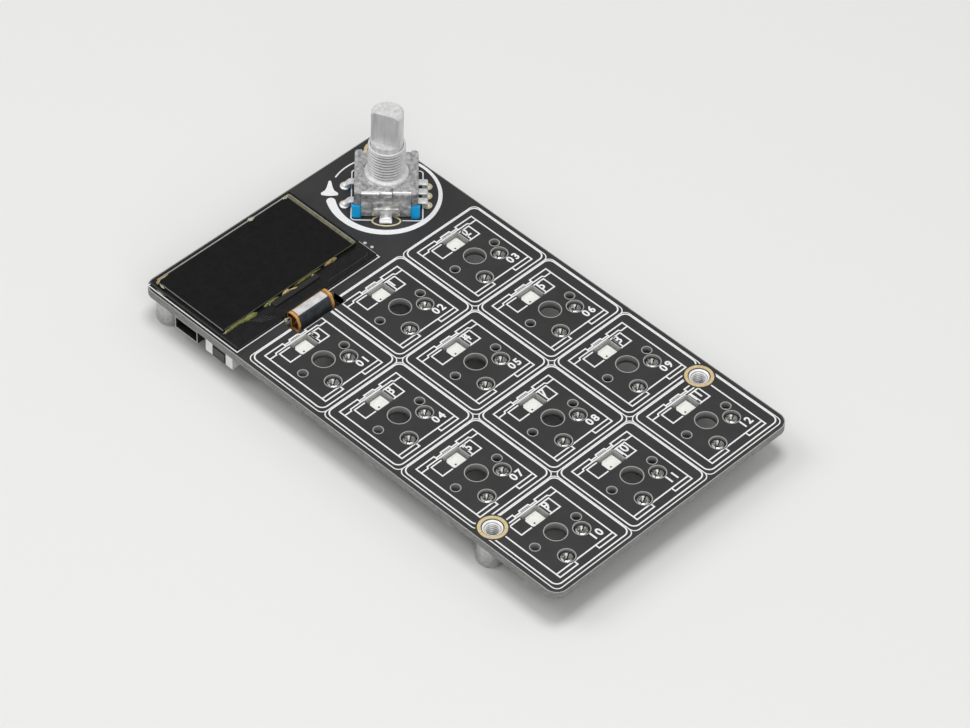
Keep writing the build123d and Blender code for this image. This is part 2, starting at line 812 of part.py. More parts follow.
write(at_encoder(encoder_base()), "encoder_base")
write(at_encoder(encoder_frame()), "encoder_frame")
write(at_encoder(encoder_bushing()), "encoder_bushing")
write(at_encoder(encoder_rotor()), "encoder_rotor")
write(at_encoder(encoder_shaft()), "encoder_shaft")
write(at_encoder(encoder_clip()), "encoder_clip")
write(at_encoder(push_plunger()), "push_plunger")
write(at_encoder(push_dome()), "push_dome")
write(encoder_terminals(), "encoder_terminals")

write(reset_body(), "reset_body")
write(reset_cover(), "reset_cover")
write(reset_button(), "reset_button")
write(cable_housing(), "cable_socket_housing")
write(cable_pins(), "cable_socket_pins")
write(usb_shell(), "usb_shell")
write(usb_tongue(), "usb_tongue")

write(speaker(), "speaker")
write(chip(processor_size, processor_size, processor_height, processor_x, processor_back_inset),
      "processor_chip")
write(chip(memory_width, memory_length, memory_height, memory_x, memory_back_inset), "memory_chip")
write(chip(crystal_width, crystal_length, crystal_height, crystal_x, crystal_back_inset), "crystal")
write(chip(regulator_width, regulator_length, regulator_height, regulator_x, regulator_back_inset),
      "regulator_chip")
write(chip(amplifier_size, amplifier_size, amplifier_height, amplifier_x, amplifier_back_inset),
      "amplifier_chip")
write(passives(), "passives")
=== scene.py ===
"""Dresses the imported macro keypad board: printed lines, pads, threads, lights, glass and metal.

Sizes and places are written in millimetres in the part's own frame, and the helpers turn them
into metres. The board's faces and the encoder's axis are read from the CAD pieces.
"""

from math import atan2, cos, degrees, pi, radians, sin, tau

import bpy
from mathutils import Matrix, Vector


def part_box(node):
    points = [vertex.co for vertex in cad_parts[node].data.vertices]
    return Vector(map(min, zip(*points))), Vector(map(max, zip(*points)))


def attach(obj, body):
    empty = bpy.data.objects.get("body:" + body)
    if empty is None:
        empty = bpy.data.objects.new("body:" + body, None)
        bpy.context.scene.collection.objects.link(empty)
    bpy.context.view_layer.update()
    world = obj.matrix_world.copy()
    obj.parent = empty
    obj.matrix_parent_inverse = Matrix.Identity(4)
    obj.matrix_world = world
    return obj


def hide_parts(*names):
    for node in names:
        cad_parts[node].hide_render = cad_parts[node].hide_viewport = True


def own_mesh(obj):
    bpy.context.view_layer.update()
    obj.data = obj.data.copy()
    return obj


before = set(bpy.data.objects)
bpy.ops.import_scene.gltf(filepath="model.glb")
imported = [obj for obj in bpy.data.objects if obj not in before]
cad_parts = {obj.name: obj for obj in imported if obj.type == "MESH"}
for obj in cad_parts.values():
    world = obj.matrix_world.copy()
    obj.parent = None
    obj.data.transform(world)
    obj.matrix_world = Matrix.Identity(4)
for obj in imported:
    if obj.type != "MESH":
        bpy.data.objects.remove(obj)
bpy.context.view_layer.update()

MM = 0.001


def box(name):
    """Low and high corner of a CAD piece in millimetres."""
    low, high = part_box(name)
    return low / MM, high / MM


# Places on the board
board_low, board_high = box("circuit_board")
shaft_low, shaft_high = box("encoder_shaft")
TOP, BOTTOM = board_high.z, board_low.z
KEY_PITCH = 19.05
KEY_COLUMNS, KEY_ROWS = 3, 4
GRID_FRONT = board_low.y + 0.95
KEYS = [Vector(((column - 1) * KEY_PITCH, GRID_FRONT + (row + 0.5) * KEY_PITCH, 0))
        for row in reversed(range(KEY_ROWS)) for column in range(KEY_COLUMNS)]
POST_X = board_high.x - 3.55
POSTS = [Vector((side * POST_X, y, 0))
         for y in (GRID_FRONT + KEY_PITCH - 1.35, board_high.y - 3.75) for side in (-1, 1)]
SOCKET_HOLES = ((3.81, -2.54), (-2.54, -5.08))
POST_HOLE, PEG_HOLE, BARREL_HOLE = 2.0, 0.85, 1.5   # radii of a seat's holes
PEG_REACH = 5.08
LIGHT_Y = 4.95
SLOT_X, SLOT_Y = 2.0, 1.6       # half of the light slot's width and length
FLEX_SLOT = (-17.95, 23.65, -6.0, 27.1)
ENCODER_X = (shaft_low.x + shaft_high.x) / 2
ENCODER_Y = (shaft_low.y + shaft_high.y) / 2
ENCODER_TURN = radians(-45)
MOUNT = TOP + 6.0               # top of the encoder's sheet frame
PIN_REACH = 7.6
PINS = [(PIN_REACH, -2.5), (PIN_REACH, 0), (PIN_REACH, 2.5), (-PIN_REACH, -2.5), (-PIN_REACH, 2.5)]
LUG_REACH = 6.85
NEAR = 0.01                     # tolerance of a corner's place

# Print and bare metal
INK_WIDTH, INK_HEIGHT = 0.28, 0.02
FRAME_WIDTH = 0.2
RIM_WIDTH, RIM_HEIGHT = 0.16, 0.008
LINER, LINER_INSET = 0.04, 0.03  # bare walls in the slots: thickness, place off the edge
PAD_HEIGHT = 0.035
PAD_CLEAR = 3.0                 # print kept this far from a standoff's middle
PRINT_STEP = 0.002              # cells that share an edge lie this much apart


# Modelling helpers
def metres(values):
    """The same values in metres."""
    return [value * MM for value in values]


def put(target, **settings):
    """Sets these properties."""
    for key, value in settings.items():
        setattr(target, key, value)


def deselect():
    """Leaves edit mode and the selection."""
    if bpy.context.object and bpy.context.object.mode != "OBJECT":
        bpy.ops.object.mode_set(mode="OBJECT")
    bpy.ops.object.select_all(action="DESELECT")


def pick(*pieces):
    """Selects these pieces; the first is active."""
    deselect()
    for piece in pieces:
        piece.select_set(True)
    bpy.context.view_layer.objects.active = pieces[0]


def select_mesh(action="SELECT"):
    """Selects or deselects the whole mesh."""
    bpy.ops.mesh.select_all(action=action)


def edit(piece):
    """Enters edit mode with all selected."""
    pick(piece)
    bpy.ops.object.mode_set(mode="EDIT")
    bpy.ops.mesh.select_mode(type="VERT")
    select_mesh()


def choose(piece, test):
    """Enters edit mode with the edges selected whose ends pass this test."""
    edit(piece)
    bpy.ops.mesh.select_mode(type="EDGE")
    select_mesh("DESELECT")
    bpy.ops.object.mode_set(mode="OBJECT")
    for edge in piece.data.edges:
        edge.select = all(test(piece.data.vertices[index].co / MM) for index in edge.vertices)
    bpy.ops.object.mode_set(mode="EDIT")


def extrude(x, y, z):
    """Extrudes the selection by this much."""
    bpy.ops.mesh.extrude_region_move(TRANSFORM_OT_translate={"value": metres((x, y, z))})


def bevelled(piece, offset, segments, test=None, **kind):
    """Bevels a piece, or only its edges that pass this test."""
    if test:
        choose(piece, test)
    else:
        edit(piece)
    bpy.ops.mesh.bevel(offset=offset * MM, segments=segments, **kind)
    deselect()
    return piece


def close_up():
    """Turns all faces outward and leaves edit mode."""
    select_mesh()
    bpy.ops.mesh.normals_make_consistent(inside=False)
    deselect()


def swept(piece, x, y, z):
    """Extrudes a whole piece by this much."""
    edit(piece)
    extrude(x, y, z)
    close_up()
    return piece


def named(piece, name):
    """Names a piece and its mesh."""
    piece.name = name
    piece.data.name = name
    return piece


def settle(piece, name):
    """Applies a piece's transform and names it."""
    pick(piece)
    bpy.ops.object.transform_apply(location=True, rotation=True, scale=True)
    return named(piece, name)


def finish_with(piece, kind, **settings):
    """Applies one modifier."""
    pick(piece)
    modifier = piece.modifiers.new(kind.title(), kind)
    for size in {"thickness", "width"} & set(settings):
        settings[size] *= MM
    put(modifier, **settings)
    bpy.ops.object.modifier_apply(modifier=modifier.name)
    return piece


def rounded(piece, width):
    """Rounds a piece's sharp edges."""
    return finish_with(piece, "BEVEL", width=width, segments=2, limit_method="ANGLE")


def joined(name, pieces):
    """Joins pieces into one."""
    pick(*pieces)
    if len(pieces) > 1:
        bpy.ops.object.join()
    return named(bpy.context.object, name)


def copied(piece, shift, name):
    """Copy of a piece with its own mesh, moved."""
    twin = piece.copy()
    twin.data = piece.data.copy()
    bpy.context.collection.objects.link(twin)
    twin.data.transform(Matrix.Translation(shift * MM))
    return named(twin, name)


def discard(*pieces):
    """Removes helper pieces."""
    for piece in pieces:
        bpy.data.objects.remove(piece, do_unlink=True)


def repeated(piece, places):
    """Copies of a piece that take its place."""
    twins = [copied(piece, spot, piece.name) for spot in places]
    discard(piece)
    return twins


def block(name, size, middle, width=0.0, segments=2):
    """Block of this size, its edges bevelled by this width."""
    deselect()
    bpy.ops.mesh.primitive_cube_add(size=1, location=metres(middle))
    piece = bpy.context.object
    piece.scale = metres(size)
    settle(piece, name)
    return bevelled(piece, width, segments) if width else piece


def bar(name, middle, radius, depth=1.0, sides=40):
    """Upright round bar about a middle point."""
    deselect()
    bpy.ops.mesh.primitive_cylinder_add(vertices=sides, radius=radius * MM, depth=depth * MM,
                                        location=metres(middle))
    return settle(bpy.context.object, name)


def line_of_points(name, points, closed=False):
    """Chain of edges through these points."""
    deselect()
    bpy.ops.mesh.primitive_plane_add(size=INK_WIDTH * MM, location=(0, 0, 0))
    piece = bpy.context.object
    edit(piece)
    bpy.ops.mesh.merge(type="CENTER")
    bpy.ops.transform.translate(value=metres(points[0]))
    route = list(points) + [points[0]] * closed
    for start, end in zip(route, route[1:]):
        extrude(*(Vector(end) - Vector(start)))
    if closed:
        select_mesh()
        bpy.ops.mesh.remove_doubles(threshold=1e-7)
    bpy.ops.object.mode_set(mode="OBJECT")
    piece.name = name
    return piece


def raised(piece, width, height):
    """Turns a flat chain of edges into a raised line."""
    return finish_with(swept(piece, 0, 0, height), "SOLIDIFY", thickness=width, offset=0,
                       use_even_offset=True, use_rim=True)


def printed_line(points, width=INK_WIDTH, height=INK_HEIGHT, closed=False, corner=0.0, z=TOP):
    """Printed line through (x, y) points."""
    piece = line_of_points("printed_line", [(x, y, z) for x, y in points], closed)
    if corner:
        bevelled(piece, corner, 8, affect="VERTICES")
    return raised(piece, width, height)


def rectangle(low_x, low_y, high_x, high_y):
    """Corner points of a rectangle."""
    return [(low_x, low_y), (high_x, low_y), (high_x, high_y), (low_x, high_y)]


def flat_circle(middle, radius, scale=(1, 1, 1), **settings):
    """Flat circle of edges, or a disc."""
    deselect()
    bpy.ops.mesh.primitive_circle_add(radius=radius, location=metres(middle), **settings)
    bpy.context.object.scale = scale
    return settle(bpy.context.object, "circle")


def ring(x, y, inner, outer, level, height, steps=40):
    """Flat ring lying at this level."""
    circle = flat_circle((x, y, level), (inner + outer) / 2 * MM, vertices=steps)
    return raised(circle, outer - inner, height)


def lathe(name, profile, x=0.0, y=0.0, steps=64):
    """Solid turned about a vertical axis from (radius, height) points."""
    points = [(x + radius, y, height) for radius, height in profile]
    piece = line_of_points(name, points, closed=profile[0][0] > 0)
    edit(piece)
    bpy.ops.mesh.spin(steps=steps, angle=tau, center=metres((x, y, 0)), axis=(0, 0, 1))
    select_mesh()
    bpy.ops.mesh.remove_doubles(threshold=1e-7)
    close_up()
    return smooth(piece)


def smooth(piece, degrees=35):
    """Smooth shading up to this angle."""
    pick(piece)
    bpy.ops.object.shade_smooth_by_angle(angle=radians(degrees))
    return piece


def turned_to_encoder(piece):
    """Moves a piece from the encoder's own axes to the board."""
    place_of = Matrix.Translation(metres((ENCODER_X, ENCODER_Y, 0)))
    piece.data.transform(place_of @ Matrix.Rotation(ENCODER_TURN, 4, "Z"))
    return piece


def keep_out(piece, shapes):
    """Cuts these shapes out of a piece."""
    cutter = joined("keep_out", shapes)
    finish_with(piece, "BOOLEAN", operation="DIFFERENCE", object=cutter, solver="EXACT",
                use_self=True)
    discard(cutter)
    return piece


def bent_strip(name, points, width, thickness, bend):
    """Strip of sheet bent through (x, z) points, its width along y."""
    strip = line_of_points(name, [(x, -width / 2, z) for x, z in points])
    bevelled(strip, bend, 4, affect="VERTICES", clamp_overlap=True)
    finish_with(swept(strip, 0, width, 0), "SOLIDIFY", thickness=thickness, offset=0,
                use_even_offset=True)
    return smooth(rounded(strip, 0.05), 40)


# Materials
finishes = {}


def colour(tone):
    """Colour of three values or of one grey."""
    return (*tone, 1) if isinstance(tone, tuple) else (tone, tone, tone, 1)


def shader(name, tone, roughness, metallic=0.0, specular=0.5):
    """New material: its node tree and its shader's inputs."""
    finishes[name] = bpy.data.materials.new(name)
    finishes[name].use_nodes = True
    tree = finishes[name].node_tree
    inputs = tree.nodes["Principled BSDF"].inputs
    inputs["Base Color"].default_value = colour(tone)
    inputs["Roughness"].default_value = roughness
    inputs["Metallic"].default_value = metallic
    inputs["Specular IOR Level"].default_value = specular
    return tree, inputs


def link(value, socket):
    """Joins an output to an input."""
    socket.id_data.links.new(value, socket)


def node(tree, kind, **settings):
    """New shader node."""
    made = tree.nodes.new(kind)
    for key, value in settings.items():
        if key in made.inputs:
            made.inputs[key].default_value = value
        else:
            setattr(made, key, value)
    return made


def place(tree, scale=(1, 1, 1), shift=(0, 0, 0)):
    """Object coordinates through a mapping."""
    coordinates = node(tree, "ShaderNodeTexCoord")
    mapping = node(tree, "ShaderNodeMapping", Scale=scale, Location=shift)
    link(coordinates.outputs["Object"], mapping.inputs["Vector"])
    return mapping.outputs["Vector"]


def axes(tree, vector):
    """X, Y and Z of a vector."""
    parts = node(tree, "ShaderNodeSeparateXYZ")
    link(vector, parts.inputs[0])
    return parts.outputs


def grain(tree, scale, detail=4.0, vector=None):
    """Noise of this many cells per metre."""
    noise = node(tree, "ShaderNodeTexNoise", Scale=scale, Detail=detail, Roughness=0.6)
    link(vector or place(tree), noise.inputs["Vector"])
    return noise.outputs["Fac"]


def spread(tree, value, low, high, start=0.3, end=0.7):
    """Stretches a value to run from low to high."""
    ramp = node(tree, "ShaderNodeMapRange", **{"From Min": start, "From Max": end,
                                               "To Min": low, "To Max": high})
    link(value, ramp.inputs["Value"])
    return ramp.outputs["Result"]


def mixed(tree, factor, first, second):
    """Colour between two tones or sockets."""
    mix = node(tree, "ShaderNodeMix", data_type="RGBA")
    for socket, tone in ((mix.inputs[6], first), (mix.inputs[7], second)):
        if isinstance(tone, (tuple, float)):
            socket.default_value = colour(tone)
        else:
            link(tone, socket)
    link(factor, mix.inputs[0])
    return mix.outputs[2]


def bumped(tree, inputs, height, distance):
    """Surface relief of this depth."""
    bump = node(tree, "ShaderNodeBump", Distance=distance * MM)
    link(height, bump.inputs["Height"])
    link(bump.outputs["Normal"], inputs["Normal"])


def calculated(tree, operation, *values):
    """One maths step between sockets or numbers."""
    maths = node(tree, "ShaderNodeMath", operation=operation)
    for socket, value in zip(maths.inputs, values):
        if isinstance(value, (int, float)):
            socket.default_value = value
        else:
            link(value, socket)
    return maths.outputs[0]


def board_finish():
    """Satin black solder mask, with pale glass fibre on every cut edge; drilled walls carry painted
    shade that darkens them deeper in the hole.
    """
    tree, inputs = shader("solder_mask", (0.03, 0.03, 0.032), 0.42)
    normal = axes(tree, node(tree, "ShaderNodeNewGeometry").outputs["Normal"])
    face = spread(tree, calculated(tree, "ABSOLUTE", normal["Z"]), 0, 1, 0.4, 0.6)
    clouds = spread(tree, grain(tree, 160, 3), 0, 1)
    mask = mixed(tree, clouds, (0.020, 0.020, 0.021), (0.030, 0.030, 0.032))
    fibres = grain(tree, 900, 5, place(tree, (1, 1, 9)))
    cut = mixed(tree, spread(tree, fibres, 0, 1), (0.14, 0.14, 0.135), (0.32, 0.32, 0.305))
    where = axes(tree, place(tree))
    # painted shade: hole walls stay pale near the top face and are painted dark deeper down
    shallow = spread(tree, where["Z"], 0, 1, (TOP - 1.5) * MM, TOP * MM)
    hole_wall_light = calculated(tree, "MULTIPLY", shallow, spread(tree, fibres, 0.45, 1.0))
    drilled = mixed(tree, hole_wall_light, (0.030, 0.030, 0.029), (0.50, 0.50, 0.49))
    outside = [calculated(tree, "GREATER_THAN", calculated(tree, "ABSOLUTE", where[axis]),
                          (edge - 0.9) * MM)
               for axis, edge in (("X", board_high.x), ("Y", board_high.y))]
    laminate = mixed(tree, calculated(tree, "MAXIMUM", *outside), drilled, cut)
    link(mixed(tree, face, laminate, mask), inputs["Base Color"])
    rough = calculated(tree, "MAXIMUM", spread(tree, grain(tree, 2500, 2), 0.36, 0.50),
                       spread(tree, face, 0.7, 0.0, 0, 1))
    link(rough, inputs["Roughness"])
    bumped(tree, inputs, grain(tree, 6000, 3), 0.004)


def thread_finish():
    """Machined thread with a painted highlight on the crests and painted shade in the roots."""
    tree, inputs = shader("thread_metal", 0.7, 0.45, 0.2)
    height = axes(tree, place(tree))["Z"]
    rim = calculated(tree, "GREATER_THAN", height, (shaft_high.z - 8.25) * MM)
    apart = node(tree, "ShaderNodeVectorMath", operation="LENGTH")
    axis = (-ENCODER_X * MM, -ENCODER_Y * MM, 0)
    link(place(tree, (1, 1, 0), axis), apart.inputs[0])
    tone = spread(tree, grain(tree, 1600), 0.75, 1.0)
    # painted shade and highlight: colour darkens towards the roots, nearer the axis, and is pale on
    # the crests and the top rim
    outer = spread(tree, apart.outputs["Value"], 0, 1, 3.13 * MM, 3.34 * MM)
    crest = calculated(tree, "MULTIPLY", tone, calculated(tree, "MAXIMUM", outer, rim))
    link(mixed(tree, crest, 0.04, 0.86), inputs["Base Color"])
    bumped(tree, inputs, grain(tree, 5000, 3), 0.01)


def standoff_thread_finish():
    """Bright thread with painted shade darkening the root of every turn."""
    tree, inputs = shader("standoff_thread_metal", 0.7, 0.35, 0.15)
    turns = axes(tree, place(tree, (1, 1, 2000), (0, 0, 0.08 - (TOP - 0.35) / 0.5)))["Z"]
    # painted shade: a dark band at the root of every turn of the thread
    root = spread(tree, calculated(tree, "PINGPONG", turns, 0.5), 0, 1, 0.06, 0.2)
    link(mixed(tree, root, (0.34, 0.34, 0.33), 0.97), inputs["Base Color"])


def rolled_finish():
    """Mottled sheet with a painted highlight along the bend at the top."""
    tree, inputs = shader("rolled_steel", 0.6, 0.26, 0.6)
    height = axes(tree, place(tree))["Z"]
    apart = calculated(tree, "ABSOLUTE", calculated(tree, "SUBTRACT", height, (MOUNT - 0.15) * MM))
    # painted highlight: a thin band at the bend's height is painted near white
    bend = spread(tree, apart, 1, 0, 0.07 * MM, 0.13 * MM)
    faces = mixed(tree, spread(tree, grain(tree, 1100), 0, 1), 0.28, 0.94)
    link(mixed(tree, bend, faces, 1.0), inputs["Base Color"])
    bumped(tree, inputs, grain(tree, 2800, 3), 0.024)


def bracket_finish():
    """Bright wings at both ends of the button's cover."""
    low, high = box("reset_button")
    tree, inputs = shader("bracket_steel", 0.8, 0.3, 0.4)
    across = axes(tree, place(tree, shift=(0, -(low.y + high.y) / 2 * MM, 0)))["Y"]
    wing = calculated(tree, "GREATER_THAN", calculated(tree, "ABSOLUTE", across),
                      ((high.y - low.y) / 2 + 0.12) * MM)
    bright = mixed(tree, grain(tree, 1500), 0.62, 0.94)
    link(mixed(tree, wing, 0.02, bright), inputs["Base Color"])


def plain_finish(name, dark, light, rough, scale=1500, relief=0.01, metallic=0.0, specular=0.5,
                 stretch=1.0):
    """Two tones, uneven roughness and fine relief."""
    tree, inputs = shader(name, dark, rough, metallic, specular)
    place_of = place(tree, (1, 1, stretch))
    tone = spread(tree, grain(tree, scale, 4, place_of), 0, 1)
    link(mixed(tree, tone, dark, light), inputs["Base Color"])
    uneven = spread(tree, grain(tree, scale * 2.3, 3, place_of), rough * 0.8, rough * 1.25)
    link(uneven, inputs["Roughness"])
    bumped(tree, inputs, grain(tree, scale * 3.1, 3, place_of), relief)


# Dark tone, light tone, roughness, grain per metre, relief, metallic, specular level, stretch in z
PLAIN_FINISHES = {
    "white_ink": (0.78, 0.9, 0.55, 4000, 0.004),
    "bare_laminate": ((0.3, 0.3, 0.29), (0.46, 0.46, 0.44), 0.55, 3000),
    "gold_plate": ((0.86, 0.66, 0.34), (0.95, 0.8, 0.48), 0.3, 900, 0.004, 0.5),
    "pale_gold": ((0.74, 0.64, 0.36), (0.9, 0.84, 0.6), 0.34, 2500, 0.004, 0.6),
    "tin_plate": ((0.66, 0.66, 0.67), 0.9, 0.45, 1500, 0.006, 0.35),
    "solder": ((0.84, 0.84, 0.83), (0.96, 0.96, 0.94), 0.34, 1200, 0.02, 0.2),
    "sheet_steel": (0.5, 0.86, 0.34, 900, 0.02, 1.0),
    "cast_zinc": (0.16, 0.6, 0.45, 1400, 0.05, 0.7),
    "turned_metal": (0.57, 0.8, 0.4, 1200, 0.008, 0.15, 0.5, 0.12),
    "plated_brass": (0.4, (0.56, 0.56, 0.55), 0.26, 1500, 0.006, 1.0),
    "trace_metal": ((0.1, 0.1, 0.11), (0.16, 0.16, 0.17), 0.3, 1500, 0.0, 0.5),
    "contact_metal": ((0.16, 0.16, 0.15), (0.78, 0.77, 0.74), 0.34, 2600, 0.01, 0.9),
    "hatch_metal": ((0.36, 0.36, 0.35), (0.66, 0.66, 0.65), 0.45, 4200, 0.006, 0.1),
    "blue_plastic": ((0.0, 0.42, 0.9), (0.0, 0.5, 1.0), 0.4, 1200, 0.01, 0.0, 0.3),
    "black_plastic": ((0.006, 0.006, 0.007), (0.014, 0.014, 0.015), 0.55, 2500, 0.01, 0.0, 0.25),
    "rotor_plastic": ((0.62, 0.6, 0.54), (0.7, 0.68, 0.62), 0.5),
    "ridge_plastic": (0.1, 0.16, 0.4, 2500),
    # painted highlight on the rim of the cable socket's opening
    "socket_lip": (0.34, 0.56, 0.45, 2500, 0.004),
    "chip_resin": ((0.022, 0.022, 0.024), (0.035, 0.035, 0.037), 0.55, 5000),
    "light_case": ((0.88, 0.88, 0.85), (0.93, 0.93, 0.9), 0.42, 2500, 0.004),
    "light_gel": ((0.84, 0.84, 0.79), (0.92, 0.92, 0.87), 0.3, 1500, 0.004),
    "ceramic": ((0.3, 0.22, 0.15), (0.42, 0.32, 0.22), 0.5, 3000),
    "foam": (0.03, 0.06, 0.8, 4000, 0.03),
    "screen_film": ((0.004, 0.004, 0.0045), (0.007, 0.007, 0.008), 0.3, 600, 0.0, 0.0, 0.22),
    "screen_glass": (0.007, (0.013, 0.014, 0.013), 0.16, 700, 0.0, 0.0, 0.3),
    "driver_glass": (0.016, 0.024, 0.2, 700, 0.0),
    "glass_glint": ((0.26, 0.26, 0.25), (0.38, 0.38, 0.36), 0.3, 900, 0.0),
    "glass_margin_and_glint": ((0.09, 0.085, 0.05), (0.2, 0.19, 0.11), 0.2, 1200, 0.0),
    "clear_resin_and_glints": ((0.24, 0.23, 0.15), (0.56, 0.54, 0.4), 0.15, 1600, 0.02),
    "amber_resin": ((0.16, 0.095, 0.025), (0.66, 0.5, 0.25), 0.15, 1900, 0.03),
    "green_resin": ((0.05, 0.06, 0.018), (0.3, 0.29, 0.09), 0.15, 1100, 0.03),
    "amber_film": ((0.26, 0.1, 0.02), (0.52, 0.25, 0.06), 0.25, 1500, 0.004),
    "label_film": (0.48, 0.8, 0.35, 700, 0.06),
    "cover_film": ((0.018, 0.023, 0.028), (0.055, 0.065, 0.075), 0.3, 900, 0.08),
    # painted highlight and painted shade: brighter and darker copies of the amber film
    "film_rim_highlight": ((0.46, 0.22, 0.05), (0.76, 0.46, 0.16), 0.2, 1800),
    "film_inside": ((0.07, 0.02, 0.004), (0.26, 0.095, 0.02), 0.4, 1200, 0.004),
}


def make_finishes():
    """All materials."""
    for make in (board_finish, bracket_finish, standoff_thread_finish, thread_finish,
                 rolled_finish):
        make()
    for name, values in PLAIN_FINISHES.items():
        plain_finish(name, *values)


def dress(piece, material, slot, body="board"):
    """Gives a new piece its material and body; the slot is not used."""
    piece.data.materials.clear()
    piece.data.materials.append(finishes[material])
    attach(piece, body)
    return piece


def dress_all(name, pieces, *look):
    """Joins pieces and dresses them as one."""
    return dress(joined(name, pieces), *look)


# Print, bare rims and standoffs
def cell_print():
    """Frame, socket outline and light box of one key cell."""
    half = KEY_PITCH / 2
    side, top, bottom = 6.93, 7.78, -7.75
    lines = [
        printed_line(rectangle(-half, -half, half, half), FRAME_WIDTH, closed=True, corner=1.25),
        printed_line(rectangle(-8.8, -8.75, 9.25, 9.25), closed=True, corner=1.3),
    ]
    for sign, tab in ((-1, 2.6), (1, 2.7)):
        outline = [(tab, 6.9), (tab, top), (side, top), (side, bottom), (tab, bottom), (tab, -6.85)]
        lines.append(printed_line([(sign * x, y) for x, y in outline]))
    lines += [
        printed_line([(-side, 6.5), (-5.3, 6.5), (-5.1, 6.9), (5.0, 6.9), (5.3, 6.5), (side, 6.5)]),
        printed_line([(-2.6, 7.3), (-1.2, 7.3), (-1.1, 7.7), (1.1, 7.7), (1.2, 7.3), (2.7, 7.3)]),
        printed_line([(-side, -6.85), (side, -6.85)]),
        printed_line(rectangle(-4.75, 3.5, 4.75, 6.3), closed=True),
        printed_line([(2.7, 3.5), (2.7, 6.3)]),
    ]
    holes = [bar("clear_hole", (x, y, TOP), 1.85) for x, y in SOCKET_HOLES]
    holes.append(block("clear_slot", (2 * SLOT_X + 0.45, 2 * SLOT_Y + 0.35, 1), (0, LIGHT_Y, TOP)))
    return keep_out(joined("cell_print", lines), holes)


def number(text, x, y, height, bold, gap):
    """Printed number about a point."""
    deselect()
    bpy.ops.object.text_add(location=metres((x, y, TOP)))
    put(bpy.context.object.data, body=text, size=height * 1.38 * MM, align_x="CENTER",
        align_y="CENTER", offset=bold * MM, space_character=gap, resolution_u=3,
        extrude=INK_HEIGHT * MM)
    bpy.ops.object.convert(target="MESH")
    return settle(bpy.context.object, "number_" + text)


def key_print():
    """Printed lines and numbers of all cells."""
    pattern = cell_print()
    low_x, low_y, high_x, high_y = FLEX_SLOT
    reach = KEY_PITCH / 2 + PAD_CLEAR
    cells, numbers = [], []
    for count, spot in enumerate(KEYS):
        level = PRINT_STEP * (count % KEY_COLUMNS % 2 + 2 * (count // KEY_COLUMNS % 2))
        cell = copied(pattern, spot + Vector((0, 0, level)), "cell_print")
        shapes = [bar("clear_pad", (post.x, post.y, TOP), PAD_CLEAR) for post in POSTS
                  if max(abs(post.x - spot.x), abs(post.y - spot.y)) < reach]
        if count < 2:
            shapes.append(block("clear_flex", (high_x - low_x + 0.2, high_y - low_y + 0.3, 1),
                                ((low_x + high_x) / 2, (low_y + high_y) / 2, TOP)))
        cells.append(keep_out(cell, shapes) if shapes else cell)
        numbers += [
            number(f"{count + 1:02d}", spot.x + 4.65, spot.y - 5.22, 1.65, 0.07, 1.25),
            number(f"{count}", spot.x + 3.12, spot.y + 5.3, 1.95, 0.05, 0.9),
        ]
    discard(pattern)
    dress_all("key_grid_print", cells, "white_ink", "solder_mask")
    dress_all("key_numbers", numbers, "white_ink", "solder_mask")


def hole_rims():
    """Bare laminate round the holes, in the slots and along the edge."""
    holes = [(0, 0, POST_HOLE), (-PEG_REACH, 0, PEG_HOLE), (PEG_REACH, 0, PEG_HOLE)]
    holes += [(x, y, BARREL_HOLE) for x, y in SOCKET_HOLES]
    rims = [ring(x, y, radius, radius + RIM_WIDTH, TOP, RIM_HEIGHT) for x, y, radius in holes]
    half = RIM_WIDTH / 2
    right, front, back = SLOT_X + half, LIGHT_Y - SLOT_Y - half, LIGHT_Y + SLOT_Y + half
    wall_x, wall_y = SLOT_X - LINER_INSET, LIGHT_Y + SLOT_Y - LINER_INSET
    rims += [
        printed_line([(right, front), (right, back), (-right, back)], RIM_WIDTH, RIM_HEIGHT,
                     corner=0.4),
        printed_line([(wall_x, LIGHT_Y - SLOT_Y + 0.3), (wall_x, wall_y), (0.3 - SLOT_X, wall_y)],
                     LINER, TOP - BOTTOM, corner=0.38, z=BOTTOM),
    ]
    hatch = [printed_line([(x, 6.98), (x, 7.55)], 0.2, RIM_HEIGHT)
             for x in (-1.15, -0.69, -0.23, 0.23, 0.69, 1.15)]
    hatch += [printed_line([(-1.25, y), (1.25, y)], 0.14, RIM_HEIGHT * 1.4)
              for y in (7.0, 7.27, 7.54)]
    hatches = repeated(joined("light_hatch", hatch), KEYS)
    dress_all("light_hatches", hatches, "hatch_metal", "solder_mask")
    cells = repeated(joined("cell_rims", rims), KEYS)
    _, low_y, high_x, high_y = FLEX_SLOT
    wall_x = high_x - LINER_INSET
    cells += [
        printed_line(rectangle(board_low.x + half, board_low.y + half, board_high.x - half,
                               board_high.y - half), RIM_WIDTH, RIM_HEIGHT, closed=True,
                     corner=2.45),
        printed_line([(wall_x, low_y + 0.1), (wall_x, high_y - 0.1)], LINER, TOP - BOTTOM,
                     z=BOTTOM),
    ]
    dress_all("bare_rims", cells, "bare_laminate", "solder_mask")
    dots = [ring(x, y, 0.1, 0.3, TOP, PAD_HEIGHT, 20) for x, y in ((6.94, 31.95), (7.13, 30.32))]
    dress_all("test_points", dots, "tin_plate", "solder_mask")


